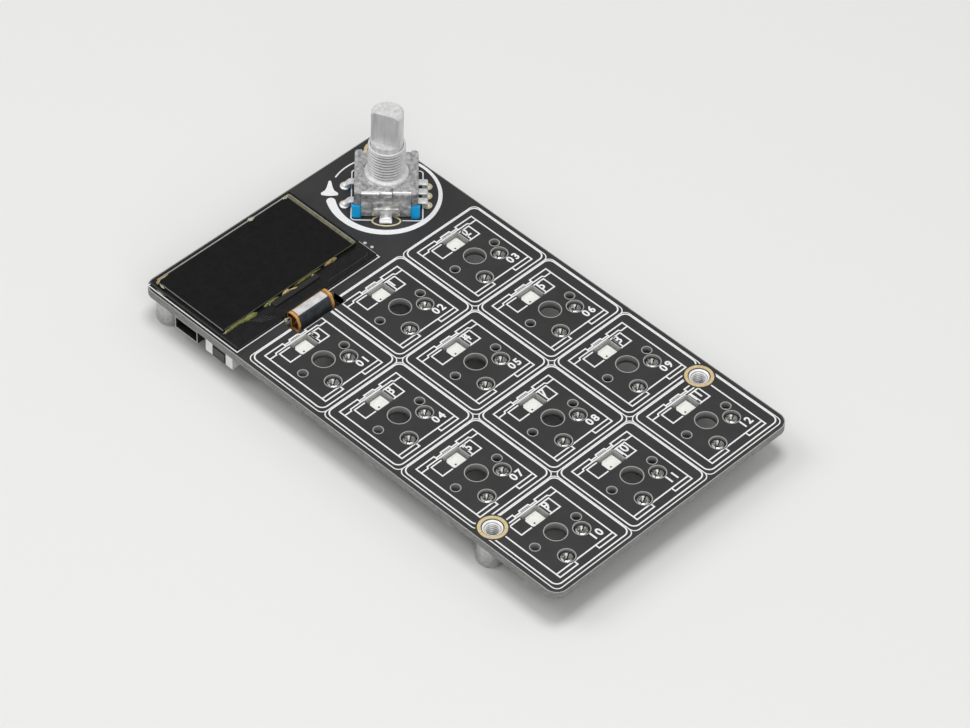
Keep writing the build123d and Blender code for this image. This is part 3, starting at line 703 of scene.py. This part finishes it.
def standoffs():
    """Standoffs with a real thread inside, and their gold pads."""
    pitch, major, minor = 0.5, 1.5, 1.25
    body, neck, chamfer = 2.75, 2.0, 0.25
    top, shell = TOP - 0.1, neck - 0.14
    profile = [(shell, 0), (body - chamfer, 0), (body, chamfer), (body, BOTTOM - chamfer),
               (body - chamfer, BOTTOM), (neck, BOTTOM), (neck, top - 0.12), (neck - 0.12, top),
               (shell, top)]
    thread = [(shell, 0.02), (shell, top - 0.02), (major, top - chamfer)]
    height = top - chamfer - pitch / 2
    while height > chamfer:
        thread += [(minor, height), (major, height - pitch / 2)]
        height -= pitch
    first = lathe("standoff", profile, steps=48)
    posts = [dress(copied(first, spot, f"standoff_{count}"), "plated_brass", "nickel_steel")
             for count, spot in enumerate(POSTS, start=1)]
    discard(first)
    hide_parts("standoffs")
    threads = repeated(lathe("standoff_thread", thread, steps=40), POSTS)
    dress_all("standoff_threads", threads, "standoff_thread_metal", "nickel_steel")
    pads = [ring(spot.x, spot.y, 2.05, 2.68, TOP, PAD_HEIGHT, 56) for spot in POSTS]
    dress_all("standoff_pads", pads, "gold_plate", "nickel_steel")


# Widths of the round arrow at shares of its length, from its thick end
ARROW_WIDTHS = ((0, 1.7), (0.1, 1.35), (0.3, 1.15), (0.5, 0.78), (0.7, 0.56), (0.86, 0.32),
                (1, 0.28))


def arrow_width(along):
    """Width of the round arrow at a share of its length."""
    for (start, wide), (end, narrow) in zip(ARROW_WIDTHS, ARROW_WIDTHS[1:]):
        if along <= end:
            return wide + (narrow - wide) * (along - start) / (end - start)
    return ARROW_WIDTHS[-1][1]


def turn_arrow():
    """Tapering round arrow, with its head beside the thick end."""
    middle = Vector((ENCODER_X + 0.14, ENCODER_Y + 0.35, TOP))
    radius, start, sweep, steps = 10.2, 147, 323.4, 90
    first = Vector((cos(radians(start)), sin(radians(start)), 0))
    thick = arrow_width(0) / 2
    rise = Vector((0, 0, INK_HEIGHT))
    inner, outer = middle + first * (radius - thick), middle + first * (radius + thick)
    piece = line_of_points("turn_arrow", [inner, outer, outer + rise, inner + rise], closed=True)
    edit(piece)
    bpy.ops.mesh.edge_face_add()
    bpy.ops.mesh.spin(steps=steps, angle=radians(-sweep), axis=(0, 0, 1), center=middle * MM)
    deselect()
    for corner in piece.data.vertices:
        offset = corner.co.xy / MM - middle.xy
        along = (degrees(atan2(offset.y, offset.x)) - start) % 360 / sweep
        if along > 1.02:
            along = 0
        reach = radius + (0.5 if offset.length > radius else -0.5) * arrow_width(along)
        corner.co.xy = (middle.xy + offset.normalized() * reach) * MM
    edit(piece)
    close_up()
    cap = bar("arrow_end", middle + first * radius + rise * 0.475, thick,
              INK_HEIGHT * 0.95, 24)
    outline = [(0.2, 3.65), (0.55, 1.9), (0.85, 1.05), (1.6, 0.35), (1.55, -0.2), (0.5, -0.4)]
    outline += [(-x, y) for x, y in reversed(outline)]
    head = line_of_points("arrow_head", [(x - 10.42, y, TOP) for x, y in outline], closed=True)
    edit(head)
    bpy.ops.mesh.edge_face_add()
    bevelled(head, 0.12, 2, affect="VERTICES")
    return [piece, cap, turned_to_encoder(swept(head, 0, 0, INK_HEIGHT))]


def head_print():
    """Print about the encoder, open at its lugs, and round the display."""
    lines = turn_arrow()
    for side, reach, gap in ((-1, 6.38, 2.7), (1, 6.8, 3.05)):
        outline = [(gap, -6.7), (reach, -6.7), (reach, 6.7), (gap, 6.7)]
        lines.append(turned_to_encoder(printed_line([(side * x, y) for x, y in outline], 0.22,
                                                    corner=0.7)))
    low, high = box("display_lower_glass")
    lines.append(printed_line(rectangle(low.x - 0.35, low.y - 0.27, high.x + 0.4, high.y + 0.15),
                              0.22, closed=True))
    dress_all("head_print", lines, "white_ink", "solder_mask")


# Pads, terminals and solder
def encoder_pads():
    """Round pads at the terminals and oval pads at the lugs, on both faces."""
    pads = []
    for level in (TOP, BOTTOM - PAD_HEIGHT):
        pads += [ring(x, y, 0.52, 0.95, level, PAD_HEIGHT, 32) for x, y in PINS]
        for side in (-1, 1):
            oval = flat_circle((0.1, side * LUG_REACH, level), 1, (2.6 * MM, 1.32 * MM, 1),
                               vertices=48)
            pads.append(raised(oval, 0.32, PAD_HEIGHT))
    dress(turned_to_encoder(joined("encoder_pads", pads)), "pale_gold", "tin_contact")


def encoder_terminals():
    """Tinned arms that turn down into the board."""
    root = (5.62, TOP + 1.3)
    parts = []
    for x, y in PINS:
        side = 1 if x > 0 else -1
        if side > 0:
            route = [root, (PIN_REACH - 0.02, root[1]), (PIN_REACH - 0.02, TOP + 0.55)]
        else:
            route = [root, (6.75, root[1]), (PIN_REACH, TOP + 0.4)]
        arm = bent_strip("arm", route, 1.5, 0.28, 0.3)
        tail = bent_strip("tail", [(PIN_REACH, TOP + 0.7), (PIN_REACH, BOTTOM - 0.8)], 0.62, 0.26,
                          0.0)
        for strip, place_y in ((arm, y - 0.25), (tail, y)):
            strip.data.transform(Matrix.Translation((0, place_y * MM, 0))
                                 @ Matrix.Scale(side, 4, (1, 0, 0)))
            edit(strip)
            close_up()
            parts.append(strip)
    pins = turned_to_encoder(joined("terminal_arms", parts))
    dress(pins, "tin_plate", "tin_contact")
    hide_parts("encoder_terminals")


def solder_cone(x, y, radius, height, width=0.0, down=False):
    """Solder fillet on a pad, above or below the board."""
    base = BOTTOM - PAD_HEIGHT if down else TOP + PAD_HEIGHT
    sign = -1 if down else 1
    deselect()
    bpy.ops.mesh.primitive_uv_sphere_add(segments=24, ring_count=14, radius=radius * MM,
                                         location=metres((x, y, base)))
    blob = bpy.context.object
    blob.scale = (1 + width / radius, 1, height / radius)
    settle(blob, "solder_cone")
    for corner in blob.data.vertices:
        spot = corner.co / MM
        rise = (spot.z - base) * sign
        if rise < 0:
            spot.z = base + rise * 0.05 * sign
        else:
            pull = 1 - 0.45 * sin(pi * min(1, rise / height)) ** 2
            spot.xy = x + (spot.x - x) * pull, y + (spot.y - y) * pull
        corner.co = spot * MM
    return smooth(blob, 60)


def encoder_solder():
    """Solder on both faces of the board at every terminal and lug."""
    blobs = []
    for x, y in PINS:
        blobs.append(solder_cone(x, y - 0.25, 0.95, 0.62) if x < 0
                     else solder_cone(x, y, 0.5, 0.3))
        blobs.append(solder_cone(x, y, 0.85, 1.1, down=True))
    for side in (-1, 1):
        blobs.append(solder_cone(0, side * LUG_REACH, 1.0, 1.1, 0.6, down=True))
        blobs.append(smooth(block("lug_solder", (2.35, 1.0, 0.5), (0, side * 7.2, TOP + 0.25),
                                  0.2, 4), 60))
    dress(turned_to_encoder(joined("encoder_solder", blobs)), "solder", "tin_contact")


# Contacts and lights of the keys
def contact_clips():
    """Split mouths of the contacts: dished discs in four leaves."""
    top = TOP - 0.42
    clip = flat_circle((0, 0, top), 1.12 * MM, vertices=32, fill_type="NGON")
    edit(named(clip, "contact_clip"))
    for inset, rise in ((0.26, 0.08), (0.42, -0.45), (0.16, -0.25)):
        bpy.ops.mesh.inset(thickness=inset * MM)
        bpy.ops.transform.translate(value=(0, 0, rise * MM))
    deselect()
    finish_with(clip, "SOLIDIFY", thickness=0.12, offset=-1)
    keep_out(clip, [block("slit", size, (0, 0, top)) for size in ((3, 0.22, 2), (0.22, 3, 2))])
    clip.data.transform(Matrix.Rotation(radians(20), 4, "Z"))
    places = [spot + Vector((x, y, 0)) for spot in KEYS for x, y in SOCKET_HOLES]
    dress_all("contact_mouths", repeated(smooth(clip, 30), places), "contact_metal", "tin_contact")


def key_lights():
    """Lights: case with one cut corner, round window and dark die."""
    low, high = box("key_light_01")
    top = high.z
    case = block("light_case", high - low, (low + high) / 2 - KEYS[0])
    bevelled(case, 0.7, 1, lambda corner: corner.x < 0 and corner.y > LIGHT_Y)
    bevelled(case, 0.07, 2)
    keep_out(smooth(case, 40), [bar("light_bowl", (0, LIGHT_Y, top + 0.42), 1.12)])
    profile = [(0, top - 0.3), (1.1, top - 0.3), (1.1, top - 0.03), (0.7, top - 0.045),
               (0, top - 0.05)]
    window = lathe("light_window", profile, 0, LIGHT_Y, 32)
    die = block("light_die", (0.34, 0.3, 0.1), (-0.6, LIGHT_Y - 0.55, top - 0.04), 0.02)
    windows, dies = [], []
    for count, spot in enumerate(KEYS, start=1):
        name = f"key_light_{count:02d}"
        twin = dress(copied(case, spot, "light_case_" + name[-2:]), "light_case", "light_plastic")
        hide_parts(name)
        windows.append(copied(window, spot, "light_window"))
        dies.append(copied(die, spot, "light_die"))
    discard(case, window, die)
    dress_all("light_windows", windows, "light_gel", "light_plastic")
    dress_all("light_dies", dies, "chip_resin", "silicon")


# Display
def bead(x, y, length, width, heading, level, height):
    """Flat drop of resin with an uneven rim."""
    deselect()
    bpy.ops.mesh.primitive_uv_sphere_add(segments=28, ring_count=12, radius=1, location=(0, 0, 0))
    drop = settle(bpy.context.object, "resin")
    for corner in drop.data.vertices:
        turn = atan2(corner.co.y, corner.co.x)
        wave = 1 + 0.14 * sin(3 * turn + x * 9) + 0.08 * sin(7 * turn + y * 7)
        corner.co.x *= wave * length * MM / 2
        corner.co.y *= wave * width * MM / 2
        corner.co.z *= height * MM * (1 if corner.co.z > 0 else 0.02)
    drop.data.transform(Matrix.Translation(metres((x, y, level)))
                        @ Matrix.Rotation(radians(heading), 4, "Z"))
    return smooth(drop, 60)


def display_face():
    """Dark film, painted glints along the glass edges and the front seam, and the sealed margin."""
    low, high = box("display_upper_glass")
    lower_low, lower_high = box("display_lower_glass")
    film_low, film_high = box("display_polarizer")
    left, right = -28.0, 3.95
    front, back = low.y + 0.05, high.y - 0.55
    film = block("display_film", (right - left, back - front, film_high.z - film_low.z),
                 ((left + right) / 2, (front + back) / 2, (film_high.z + film_low.z) / 2), 0.03)
    dress(film, "screen_film", "polarizer_film")
    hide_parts("display_polarizer")
    middle = (right + high.x) / 2
    ledge_x = lower_high.x - 0.07
    for name, material, lines in (
            # pale strips painted as glints along the glass edges and the ledge's edge
            ("glass_edge_glints", "glass_glint", (
                (low.x + 0.3, high.y - 0.12, high.x - 0.2, high.y - 0.12, 0.26, 0.02, high.z),
                (low.x + 0.04, front, low.x + 0.04, high.y - 1.6, 0.06, 0.12, high.z),
                (high.x - 0.09, front + 0.3, high.x - 0.09, high.y - 0.2, 0.14, 0.02, high.z),
                (ledge_x, lower_low.y + 0.1, ledge_x, low.y + 0.3, 0.14, 0.02, lower_high.z))),
            ("glass_margin_and_glint", "glass_margin_and_glint", (
                (middle, front, middle, high.y - 0.15, high.x - right - 0.1, 0.008, high.z),
                # dim painted glint along the front seam of the upper glass
                (left + 0.3, low.y + 0.01, high.x - 0.4, low.y + 0.01, 0.05, 0.14, high.z)))):
        pieces = [printed_line([(x, y), (end_x, end_y)], width, height, z=z)
                  for x, y, end_x, end_y, width, height, z in lines]
        dress_all(name, pieces, material, "display_glass")


def display_resin():
    """Drops of resin at the glass corners and along the ledge; two pale drops are painted glints.
    """
    low, high = box("display_upper_glass")
    ledge = box("display_lower_glass")[1].z
    seam, back, top = low.y - 0.1, high.y, high.z
    # Place, length, width, heading in degrees, level and height of every drop
    for name, drops in {
        "amber_resin": (
            (-26.7, back - 0.5, 3.0, 0.5, 2, top, 0.2),
            (-27.9, back - 0.55, 1.5, 0.7, 40, top, 0.2),
            (-12.8, seam - 0.05, 2.0, 0.9, 0, ledge, 0.6),
            (-11.3, seam - 0.45, 2.4, 0.6, -16, ledge, 0.4),
            (-1.6, seam + 0.15, 3.0, 0.75, 0, ledge, 0.72)),
        "green_resin": (
            (-24.9, seam + 0.1, 7.2, 0.75, 1.5, ledge, 0.5),
            (-21.9, seam - 0.1, 3.6, 1.3, 0, ledge, 0.62),
            (-16.6, seam, 3.8, 0.6, 0, ledge, 0.5),
            (-7.6, seam + 0.1, 7.0, 0.3, 0, ledge, 0.5)),
        "clear_resin_and_glints": (
            (3.7, back - 0.4, 1.5, 0.9, 20, top, 0.2),
            (-4.8, back - 0.25, 1.5, 0.95, 0, top, 0.25),
            # painted highlights: this pale drop and the one at x -6.5 stand for glints on the
            # glass's left edge and on the driver chip
            (-28.3, back - 1.9, 1.5, 0.35, 80, top - 0.02, 0.14),
            (-17.2, seam - 0.4, 0.35, 0.3, 0, ledge, 0.4),
            (-6.5, seam - 0.35, 0.8, 0.3, 10, ledge, 0.5),
            (-17.2, 27.4, 0.8, 0.7, 20, TOP, 0.5)),
    }.items():
        dress_all(name, [bead(*drop) for drop in drops], name, "display_glass")


def ledge_traces():
    """Faint conductors on the ledge."""
    low, high = box("display_lower_glass")
    chip_low, chip_high = box("display_driver_chip")
    y = low.y + 1.0
    routes = [[(chip_high.x + 0.6, y), (high.x - 1.4, y), (high.x - 1.0, y + 0.5)]]
    for count in range(4):
        x, y = chip_low.x - 1.5 - 0.5 * count, low.y + 0.9 + 0.55 * count
        routes.append([(x - 3.0, y + 0.9), (x - 1.2, y + 0.2), (x, y)])
    traces = [printed_line(route, 0.05, 0.004, z=high.z) for route in routes]
    dress_all("ledge_traces", traces, "trace_metal", "display_glass")


# Flexible tail of the display
def walked(piece):
    """Points of an open chain, in order from its higher end."""
    links = {}
    for edge in piece.data.edges:
        first, second = edge.vertices
        links.setdefault(first, []).append(second)
        links.setdefault(second, []).append(first)
    ends = [index for index, near in links.items() if len(near) == 1]
    path = [max(ends, key=lambda index: piece.data.vertices[index].co.z)]
    while len(path) < len(links):
        path.append(next(index for index in links[path[-1]] if index not in path[-2:]))
    return [piece.data.vertices[index].co / MM for index in path]


def film_band(name, points, start, end, thickness, lift=0.0):
    """Band of film along these points."""
    moved = []
    for index, point in enumerate(points):
        ahead = points[min(index + 1, len(points) - 1)] - points[max(index - 1, 0)]
        out = Vector((0, ahead.z, -ahead.y)).normalized() * lift
        moved.append((start, point.y + out.y, point.z + out.z))
    band = swept(line_of_points(name, moved), end - start, 0, 0)
    finish_with(band, "SOLIDIFY", thickness=thickness, offset=0, use_even_offset=True)
    return smooth(band, 50)


def display_flex():
    """Amber film rolled over the slot, with a pale band on top and a dark cover; its rims are
    painted brighter as highlight and its inside darker as shade.
    """
    low, high = box("display_flex")
    glass_low, glass_high = box("display_lower_glass")
    glass, ledge = glass_low.y, glass_high.z
    bottom, back = BOTTOM - 0.45, glass - 0.85
    crest, wall = ledge + 0.66, back - 0.06
    route = [(glass + 1.5, ledge + 0.06), (glass + 0.3, ledge + 0.06), (glass - 0.8, crest),
             (glass - 2.2, crest - 0.15), (glass - 2.95, TOP - 0.4), (glass - 2.95, bottom),
             (back + 0.12, bottom), (back + 1.0, BOTTOM - 0.06), (back + 3.0, BOTTOM - 0.06)]
    chain = line_of_points("flex_route", [(low.x, y, z) for y, z in route])
    path = walked(bevelled(chain, 0.8, 7, affect="VERTICES",
                           clamp_overlap=True))
    discard(chain)
    top = [point for point in path if point.z > bottom + 0.05]
    bond = [point for point in top if point.y > glass - 0.35]
    hem = [point for point in top if point.y < glass - 0.35]
    pale = [point for point in top if glass - 2.1 < point.y < glass - 0.3]
    dark = [point for point in top if point.y < glass - 2.0]
    front = [point for point in path if point.z < crest and point.y < wall]
    rear = [Vector((0, y, z)) for y, z in (
        (glass - 0.04, ledge + 0.02), (glass - 0.12, TOP + 0.2), (wall, TOP + 0.08),
        (wall, BOTTOM + 0.1), (wall - 0.3, bottom + 0.12))]
    # Points, start and end inside the film's sides, thickness and lift of every band
    bands = {
        ("flex_body", "amber_film"): [(path, 0, 0, 0.1, 0)],
        # pale band along the top of the roll
        ("flex_label", "label_film"): [(pale, 0.8, -0.95, 0.04, 0.07)],
        ("flex_cover", "cover_film"): [(dark, 0.6, -0.7, 0.04, 0.07)],
        ("flex_bond", "screen_glass"): [(bond, -0.02, 0.02, 0.04, 0.065)],
        # painted shade: the roll's inside is a darker copy of the amber film
        ("flex_lining", "film_inside"): [(front, 0.05, -0.05, 0.03, -0.09),
                                         (rear, 0.05, -0.05, 0.03, 0)],
    }
    for (name, material), rows in bands.items():
        pieces = [film_band(name, points, low.x + start, high.x + end, thickness, lift)
                  for points, start, end, thickness, lift in rows]
        band = dress_all(name, pieces, material, "flex_film")
        if name == "flex_body":
            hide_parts("display_flex")
    # painted highlight: the rims at the roll's ends are a brighter copy of the amber film
    hems = [film_band("flex_hem", hem, low.x - 0.02, low.x + 0.42, 0.24, 0.02),
            film_band("flex_hem", hem, high.x - 0.5, high.x + 0.02, 0.24, 0.02),
            film_band("flex_hem", rear, low.x - 0.02, low.x + 0.15, 0.1)]
    dress_all("flex_hems", hems, "film_rim_highlight", "flex_film")


# Encoder
def encoder_bushing():
    """Die-cast body with corner posts and tabs, and the threaded bushing."""
    low, high = box("encoder_bushing")
    base, tip = low.z, high.z
    roof = MOUNT - 0.43
    bore, crest, root, pitch = 3.05, 3.5, 3.14, 0.66
    level = MOUNT + 0.8
    profile = [(bore, roof - 0.6), (4.1, roof - 0.6), (4.1, MOUNT + 0.14), (4.02, MOUNT + 0.3),
               (3.8, MOUNT + 0.42), (3.6, MOUNT + 0.5), (3.5, MOUNT + 0.62), (root, level)]
    while level + pitch < tip - 0.2:
        profile += [(crest, level + pitch * 0.38), (crest, level + pitch * 0.56),
                    (root, level + pitch * 0.92), (root, level + pitch)]
        level += pitch
    profile += [(crest - 0.02, level + 0.12), (crest - 0.02, tip - 0.08), (crest - 0.1, tip),
                (bore + 0.05, tip), (bore, tip - 0.1)]
    collar = lathe("bushing_collar", profile, ENCODER_X, ENCODER_Y, 72)
    dress(collar, "thread_metal", "diecast_metal")
    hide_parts("encoder_bushing")
    tall, middle = roof - base, (roof + base) / 2
    skirt_foot = TOP + 1.5
    body = block("bushing_body", (11.56, 10.86, tall), (0, 0, middle))
    for side_x in (-1, 1):
        added = [block("corner_post", (1.12, 1.2, tall), (side_x * 5.22, side_y * 5.14, middle))
                 for side_y in (-1, 1)]
        added.append(block("side_skirt", (0.24, 10.2, roof - skirt_foot),
                           (side_x * 5.78, 0.35, (roof + skirt_foot) / 2)))
        for post in added:
            finish_with(body, "BOOLEAN", operation="UNION", object=post, solver="EXACT")
            discard(post)
    keep_out(body, [bar("chamber", (0, 0, base), 4.7, 2 * (tall - 0.6), 64),
                    bar("through", (0, 0, roof), 4.0)])
    rounded(body, 0.12)
    dress(turned_to_encoder(smooth(body, 30)), "cast_zinc", "diecast_metal")
    tabs = []
    for side in (-1, 1):
        tab = block("locking_tab", (2.2, 1.4, 1.18), (0, side * 5.15, MOUNT - 0.6))
        bevelled(tab, 0.45, 4, lambda corner: corner.z > MOUNT - 0.1 and corner.y * side > 5.8)
        tabs.append(rounded(tab, 0.06))
    tabs = turned_to_encoder(smooth(joined("locking_tabs", tabs), 30))
    dress(tabs, "rolled_steel", "diecast_metal")


def frame_ridge(side):
    """Raised ridge across one bent wall of the sheet frame."""
    wall = 5.84
    outline = [(-2.3, 2.3), (2.3, 2.3), (2.75, 1.6), (2.75, 0.4), (-2.75, 0.4), (-2.75, 1.6)]
    ridge = line_of_points("ridge", [(x, z, 0) for x, z in outline], closed=True)
    edit(ridge)
    bpy.ops.mesh.edge_face_add()
    bpy.ops.mesh.inset(thickness=0.2 * MM)
    bpy.ops.transform.translate(value=(0, 0, 0.2 * MM))
    deselect()
    ridge.data.transform(Matrix(((side, 0, 0, 0), (0, 0, side, side * wall * MM),
                                 (0, 1, 0, TOP * MM), (0, 0, 0, 1))))
    choose(ridge, lambda corner: abs(abs(corner.y) - wall) < NEAR)
    bpy.ops.mesh.edge_face_add()
    close_up()
    return smooth(bevelled(ridge, 0.05, 2), 50)


def encoder_frame():
    """Sheet frame with bent walls, notches, ridges and lugs."""
    half, thick, bend, wall = 5.85, 0.4, 0.45, 4.55
    middle = MOUNT - thick / 2
    reach = half - thick / 2 - bend
    foot = TOP + 0.2
    deselect()
    bpy.ops.mesh.primitive_plane_add(size=2, location=(0, 0, middle * MM))
    sheet = bpy.context.object
    sheet.scale = (half * MM, reach * MM, 1)
    settle(sheet, "encoder_sheet")
    for x in (-wall, wall):
        edit(sheet)
        bpy.ops.mesh.bisect(plane_co=(x * MM, 0, 0), plane_no=(1, 0, 0))
        deselect()
    for side in (-1, 1):
        choose(sheet, lambda corner: (abs(corner.x) < wall + NEAR
                                      and corner.y * side > reach - NEAR))
        bpy.ops.mesh.spin(steps=5, angle=side * pi / 2, axis=(1, 0, 0),
                          center=metres((0, side * reach, middle - bend)))
        extrude(0, 0, foot - middle + bend)
        for wing in (-1, 1):
            choose(sheet, lambda corner: (corner.x * wing > wall - NEAR
                                          and corner.y * side > reach - NEAR
                                          and corner.z > middle - NEAR))
            extrude(0, side * (half - reach), 0)
        deselect()
    edit(sheet)
    bpy.ops.mesh.remove_doubles(threshold=1e-6)
    close_up()
    finish_with(sheet, "SOLIDIFY", thickness=thick, offset=0, use_even_offset=True)
    bevelled(sheet, 0.7, 5, lambda corner: min(abs(corner.x), abs(corner.y)) > half - NEAR)
    cuts = [block("notch", (2.4, 2.5, 2.3), (0, side * 5.6, MOUNT - 0.15)) for side in (-1, 1)]
    keep_out(sheet, [bar("opening", (0, 0, MOUNT), 4.2)] + cuts)
    parts = [smooth(rounded(sheet, 0.07), 40)]
    for side in (-1, 1):
        route = [(5.65, TOP + 0.4), (6.85, TOP + 0.4), (6.85, BOTTOM - 0.9)]
        lug = bent_strip("lug", route, 2.2, thick, 0.3)
        lug.data.transform(Matrix.Rotation(radians(90 * side), 4, "Z"))
        parts += [lug, frame_ridge(side)]
    frame_piece = turned_to_encoder(joined("encoder_sheet", parts))
    dress(frame_piece, "rolled_steel", "frame_steel")
    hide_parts("encoder_frame")


def snap_dome():
    """Snap dome: a thin dished steel sheet."""
    low, high = box("push_dome")
    reach, crown, thick = 2.4, 1.1, 0.12
    rise = high.z - low.z
    outer = [(reach, low.z), (reach - 0.3, low.z + 0.3 * rise), (reach - 0.8, low.z + 0.76 * rise),
             (crown, high.z - 0.02), (0, high.z)]
    inner = [(0, high.z - thick), (crown, high.z - thick - 0.02),
             (reach - 0.9, low.z + 0.76 * rise - thick), (reach - 2 * thick, low.z)]
    dome = lathe("snap_dome", inner + outer, ENCODER_X, ENCODER_Y, 40)
    dress(dome, "sheet_steel", "frame_steel")
    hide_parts("push_dome")
    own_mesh(dome)


# Pieces at the board's edge
def socket_opening():
    """Painted highlight: a pale lip round the opening of the cable socket, where its black rim
    catches the light.
    """
    low, high = box("cable_socket_housing")
    lip = printed_line(rectangle(low.y + 0.15, low.z + 0.15, high.y - 0.15, high.z - 0.15), 0.16,
                       0.06, closed=True, z=0)
    lip.data.transform(Matrix(((0, 0, -1, (low.x + 0.01) * MM), (1, 0, 0, 0), (0, 1, 0, 0),
                               (0, 0, 0, 1))))
    edit(lip)
    close_up()
    dress(lip, "socket_lip", "socket_plastic")


def button_ridges():
    """Raised ridges on the face of the reset button."""
    low, high = box("reset_button")
    ridges = []
    for count in range(3):
        z = low.z + (high.z - low.z) * (count + 0.5) / 3
        ridge = block("button_ridge", (0.12, (high.y - low.y) * 0.9, 0.26),
                      (low.x + 0.02, (low.y + high.y) / 2, z))
        ridges.append(bevelled(ridge, 0.05, 2, lambda corner: corner.x < low.x))
    dress_all("button_ridges", ridges, "ridge_plastic", "button_plastic", "reset_button")


# CAD pieces that keep their shape, by their material
CAD_FINISHES = {
    "solder_mask": "circuit_board",
    "tin_plate": "socket_contacts light_leads cable_socket_pins",
    "ceramic": "passives",
    "foam": "display_tape",
    "driver_glass": "display_driver_chip",
    "screen_glass": "display_lower_glass display_upper_glass",
    "blue_plastic": "encoder_base",
    "rotor_plastic": "encoder_rotor push_plunger",
    "turned_metal": "encoder_shaft",
    "sheet_steel": "encoder_clip usb_shell crystal",
    "bracket_steel": "reset_cover",
    "black_plastic": "reset_body reset_button cable_socket_housing usb_tongue speaker",
    "chip_resin": "processor_chip memory_chip regulator_chip amplifier_chip",
}
EDGE_WIDTHS = {
    "display_lower_glass": 0.08, "display_upper_glass": 0.08, "encoder_base": 0.1,
    "encoder_shaft": 0.12, "crystal": 0.15, "cable_socket_housing": 0.08, "speaker": 0.3,
    "processor_chip": 0.08, "memory_chip": 0.08, "regulator_chip": 0.06, "amplifier_chip": 0.06,
}
for socket in range(1, 13):
    CAD_FINISHES["black_plastic"] += f" key_socket_{socket:02d}"
    EDGE_WIDTHS[f"key_socket_{socket:02d}"] = 0.12


def cad_finishes():
    """Materials and rounded edges of the CAD pieces."""
    for material, names in CAD_FINISHES.items():
        for name in names.split():
            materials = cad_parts[name].data.materials
            materials.clear()
            materials.append(finishes[material])
    for name, width in EDGE_WIDTHS.items():
        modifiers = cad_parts[name].modifiers
        modifiers.new("Weld", "WELD").merge_threshold = 1e-6
        put(modifiers.new("Bevel", "BEVEL"), width=width * MM, segments=2, limit_method="ANGLE",
            angle_limit=radians(40), harden_normals=True)


# Floor, light and camera, in metres
def studio():
    """Pale floor and soft light."""
    deselect()
    bpy.ops.mesh.primitive_plane_add(size=6, location=(0, 0, 0))
    floor = settle(bpy.context.object, "floor")
    shader("floor_paint", (0.80, 0.80, 0.79), 0.7)
    floor.data.materials.append(finishes["floor_paint"])
    world = bpy.data.worlds.new("studio")
    bpy.context.scene.world = world
    world.use_nodes = True
    sky = world.node_tree.nodes["Background"].inputs
    sky["Color"].default_value = (1, 1, 1, 1)
    sky["Strength"].default_value = 0.31
    for name, spot, size, power in (
            ("key_lamp", (-0.35, 0.45, 0.75), 0.5, 2.1),
            ("top_lamp", (0.05, 0.02, 0.85), 0.3, 2.9),
            ("fill_lamp", (0.6, -0.35, 0.6), 0.6, 0.5),
            ("front_lamp", (-0.4, -0.6, 0.5), 0.6, 2.2)):
        lamp = bpy.data.objects.new(name, bpy.data.lights.new(name, "AREA"))
        bpy.context.collection.objects.link(lamp)
        put(lamp.data, size=size, energy=power)
        aim = Vector((0, 0, TOP * MM)) - Vector(spot)
        put(lamp, location=spot, rotation_euler=aim.to_track_quat("-Z", "Y").to_euler())


def main_camera():
    """Camera looking down at the board from its front left."""
    azimuth, elevation, roll = (radians(angle) for angle in (47.13, 45.53, 2.44))
    distance = 0.7468
    aim = Vector(metres((0.79, -4.85, TOP)))
    back = Vector((-sin(azimuth) * cos(elevation),
                   -cos(azimuth) * cos(elevation), sin(elevation)))
    camera = bpy.data.objects.new("camera", bpy.data.cameras.new("camera"))
    bpy.context.collection.objects.link(camera)
    turn = (-back).to_track_quat("-Z", "Y").to_matrix().to_4x4()
    camera.matrix_world = (Matrix.Translation(aim + back * distance) @ turn
                           @ Matrix.Rotation(roll, 4, "Z"))
    put(camera.data, sensor_width=36, lens=156.35, clip_start=0.01)
    bpy.context.scene.camera = camera


for build in (make_finishes, key_print, hole_rims, standoffs, head_print, encoder_pads,
              encoder_terminals, encoder_solder, contact_clips, key_lights, display_face,
              display_resin, ledge_traces, display_flex, encoder_bushing, encoder_frame,
              socket_opening, snap_dome, button_ridges, cad_finishes, studio, main_camera):
    build()
bpy.context.scene.view_settings.view_transform = "Standard"
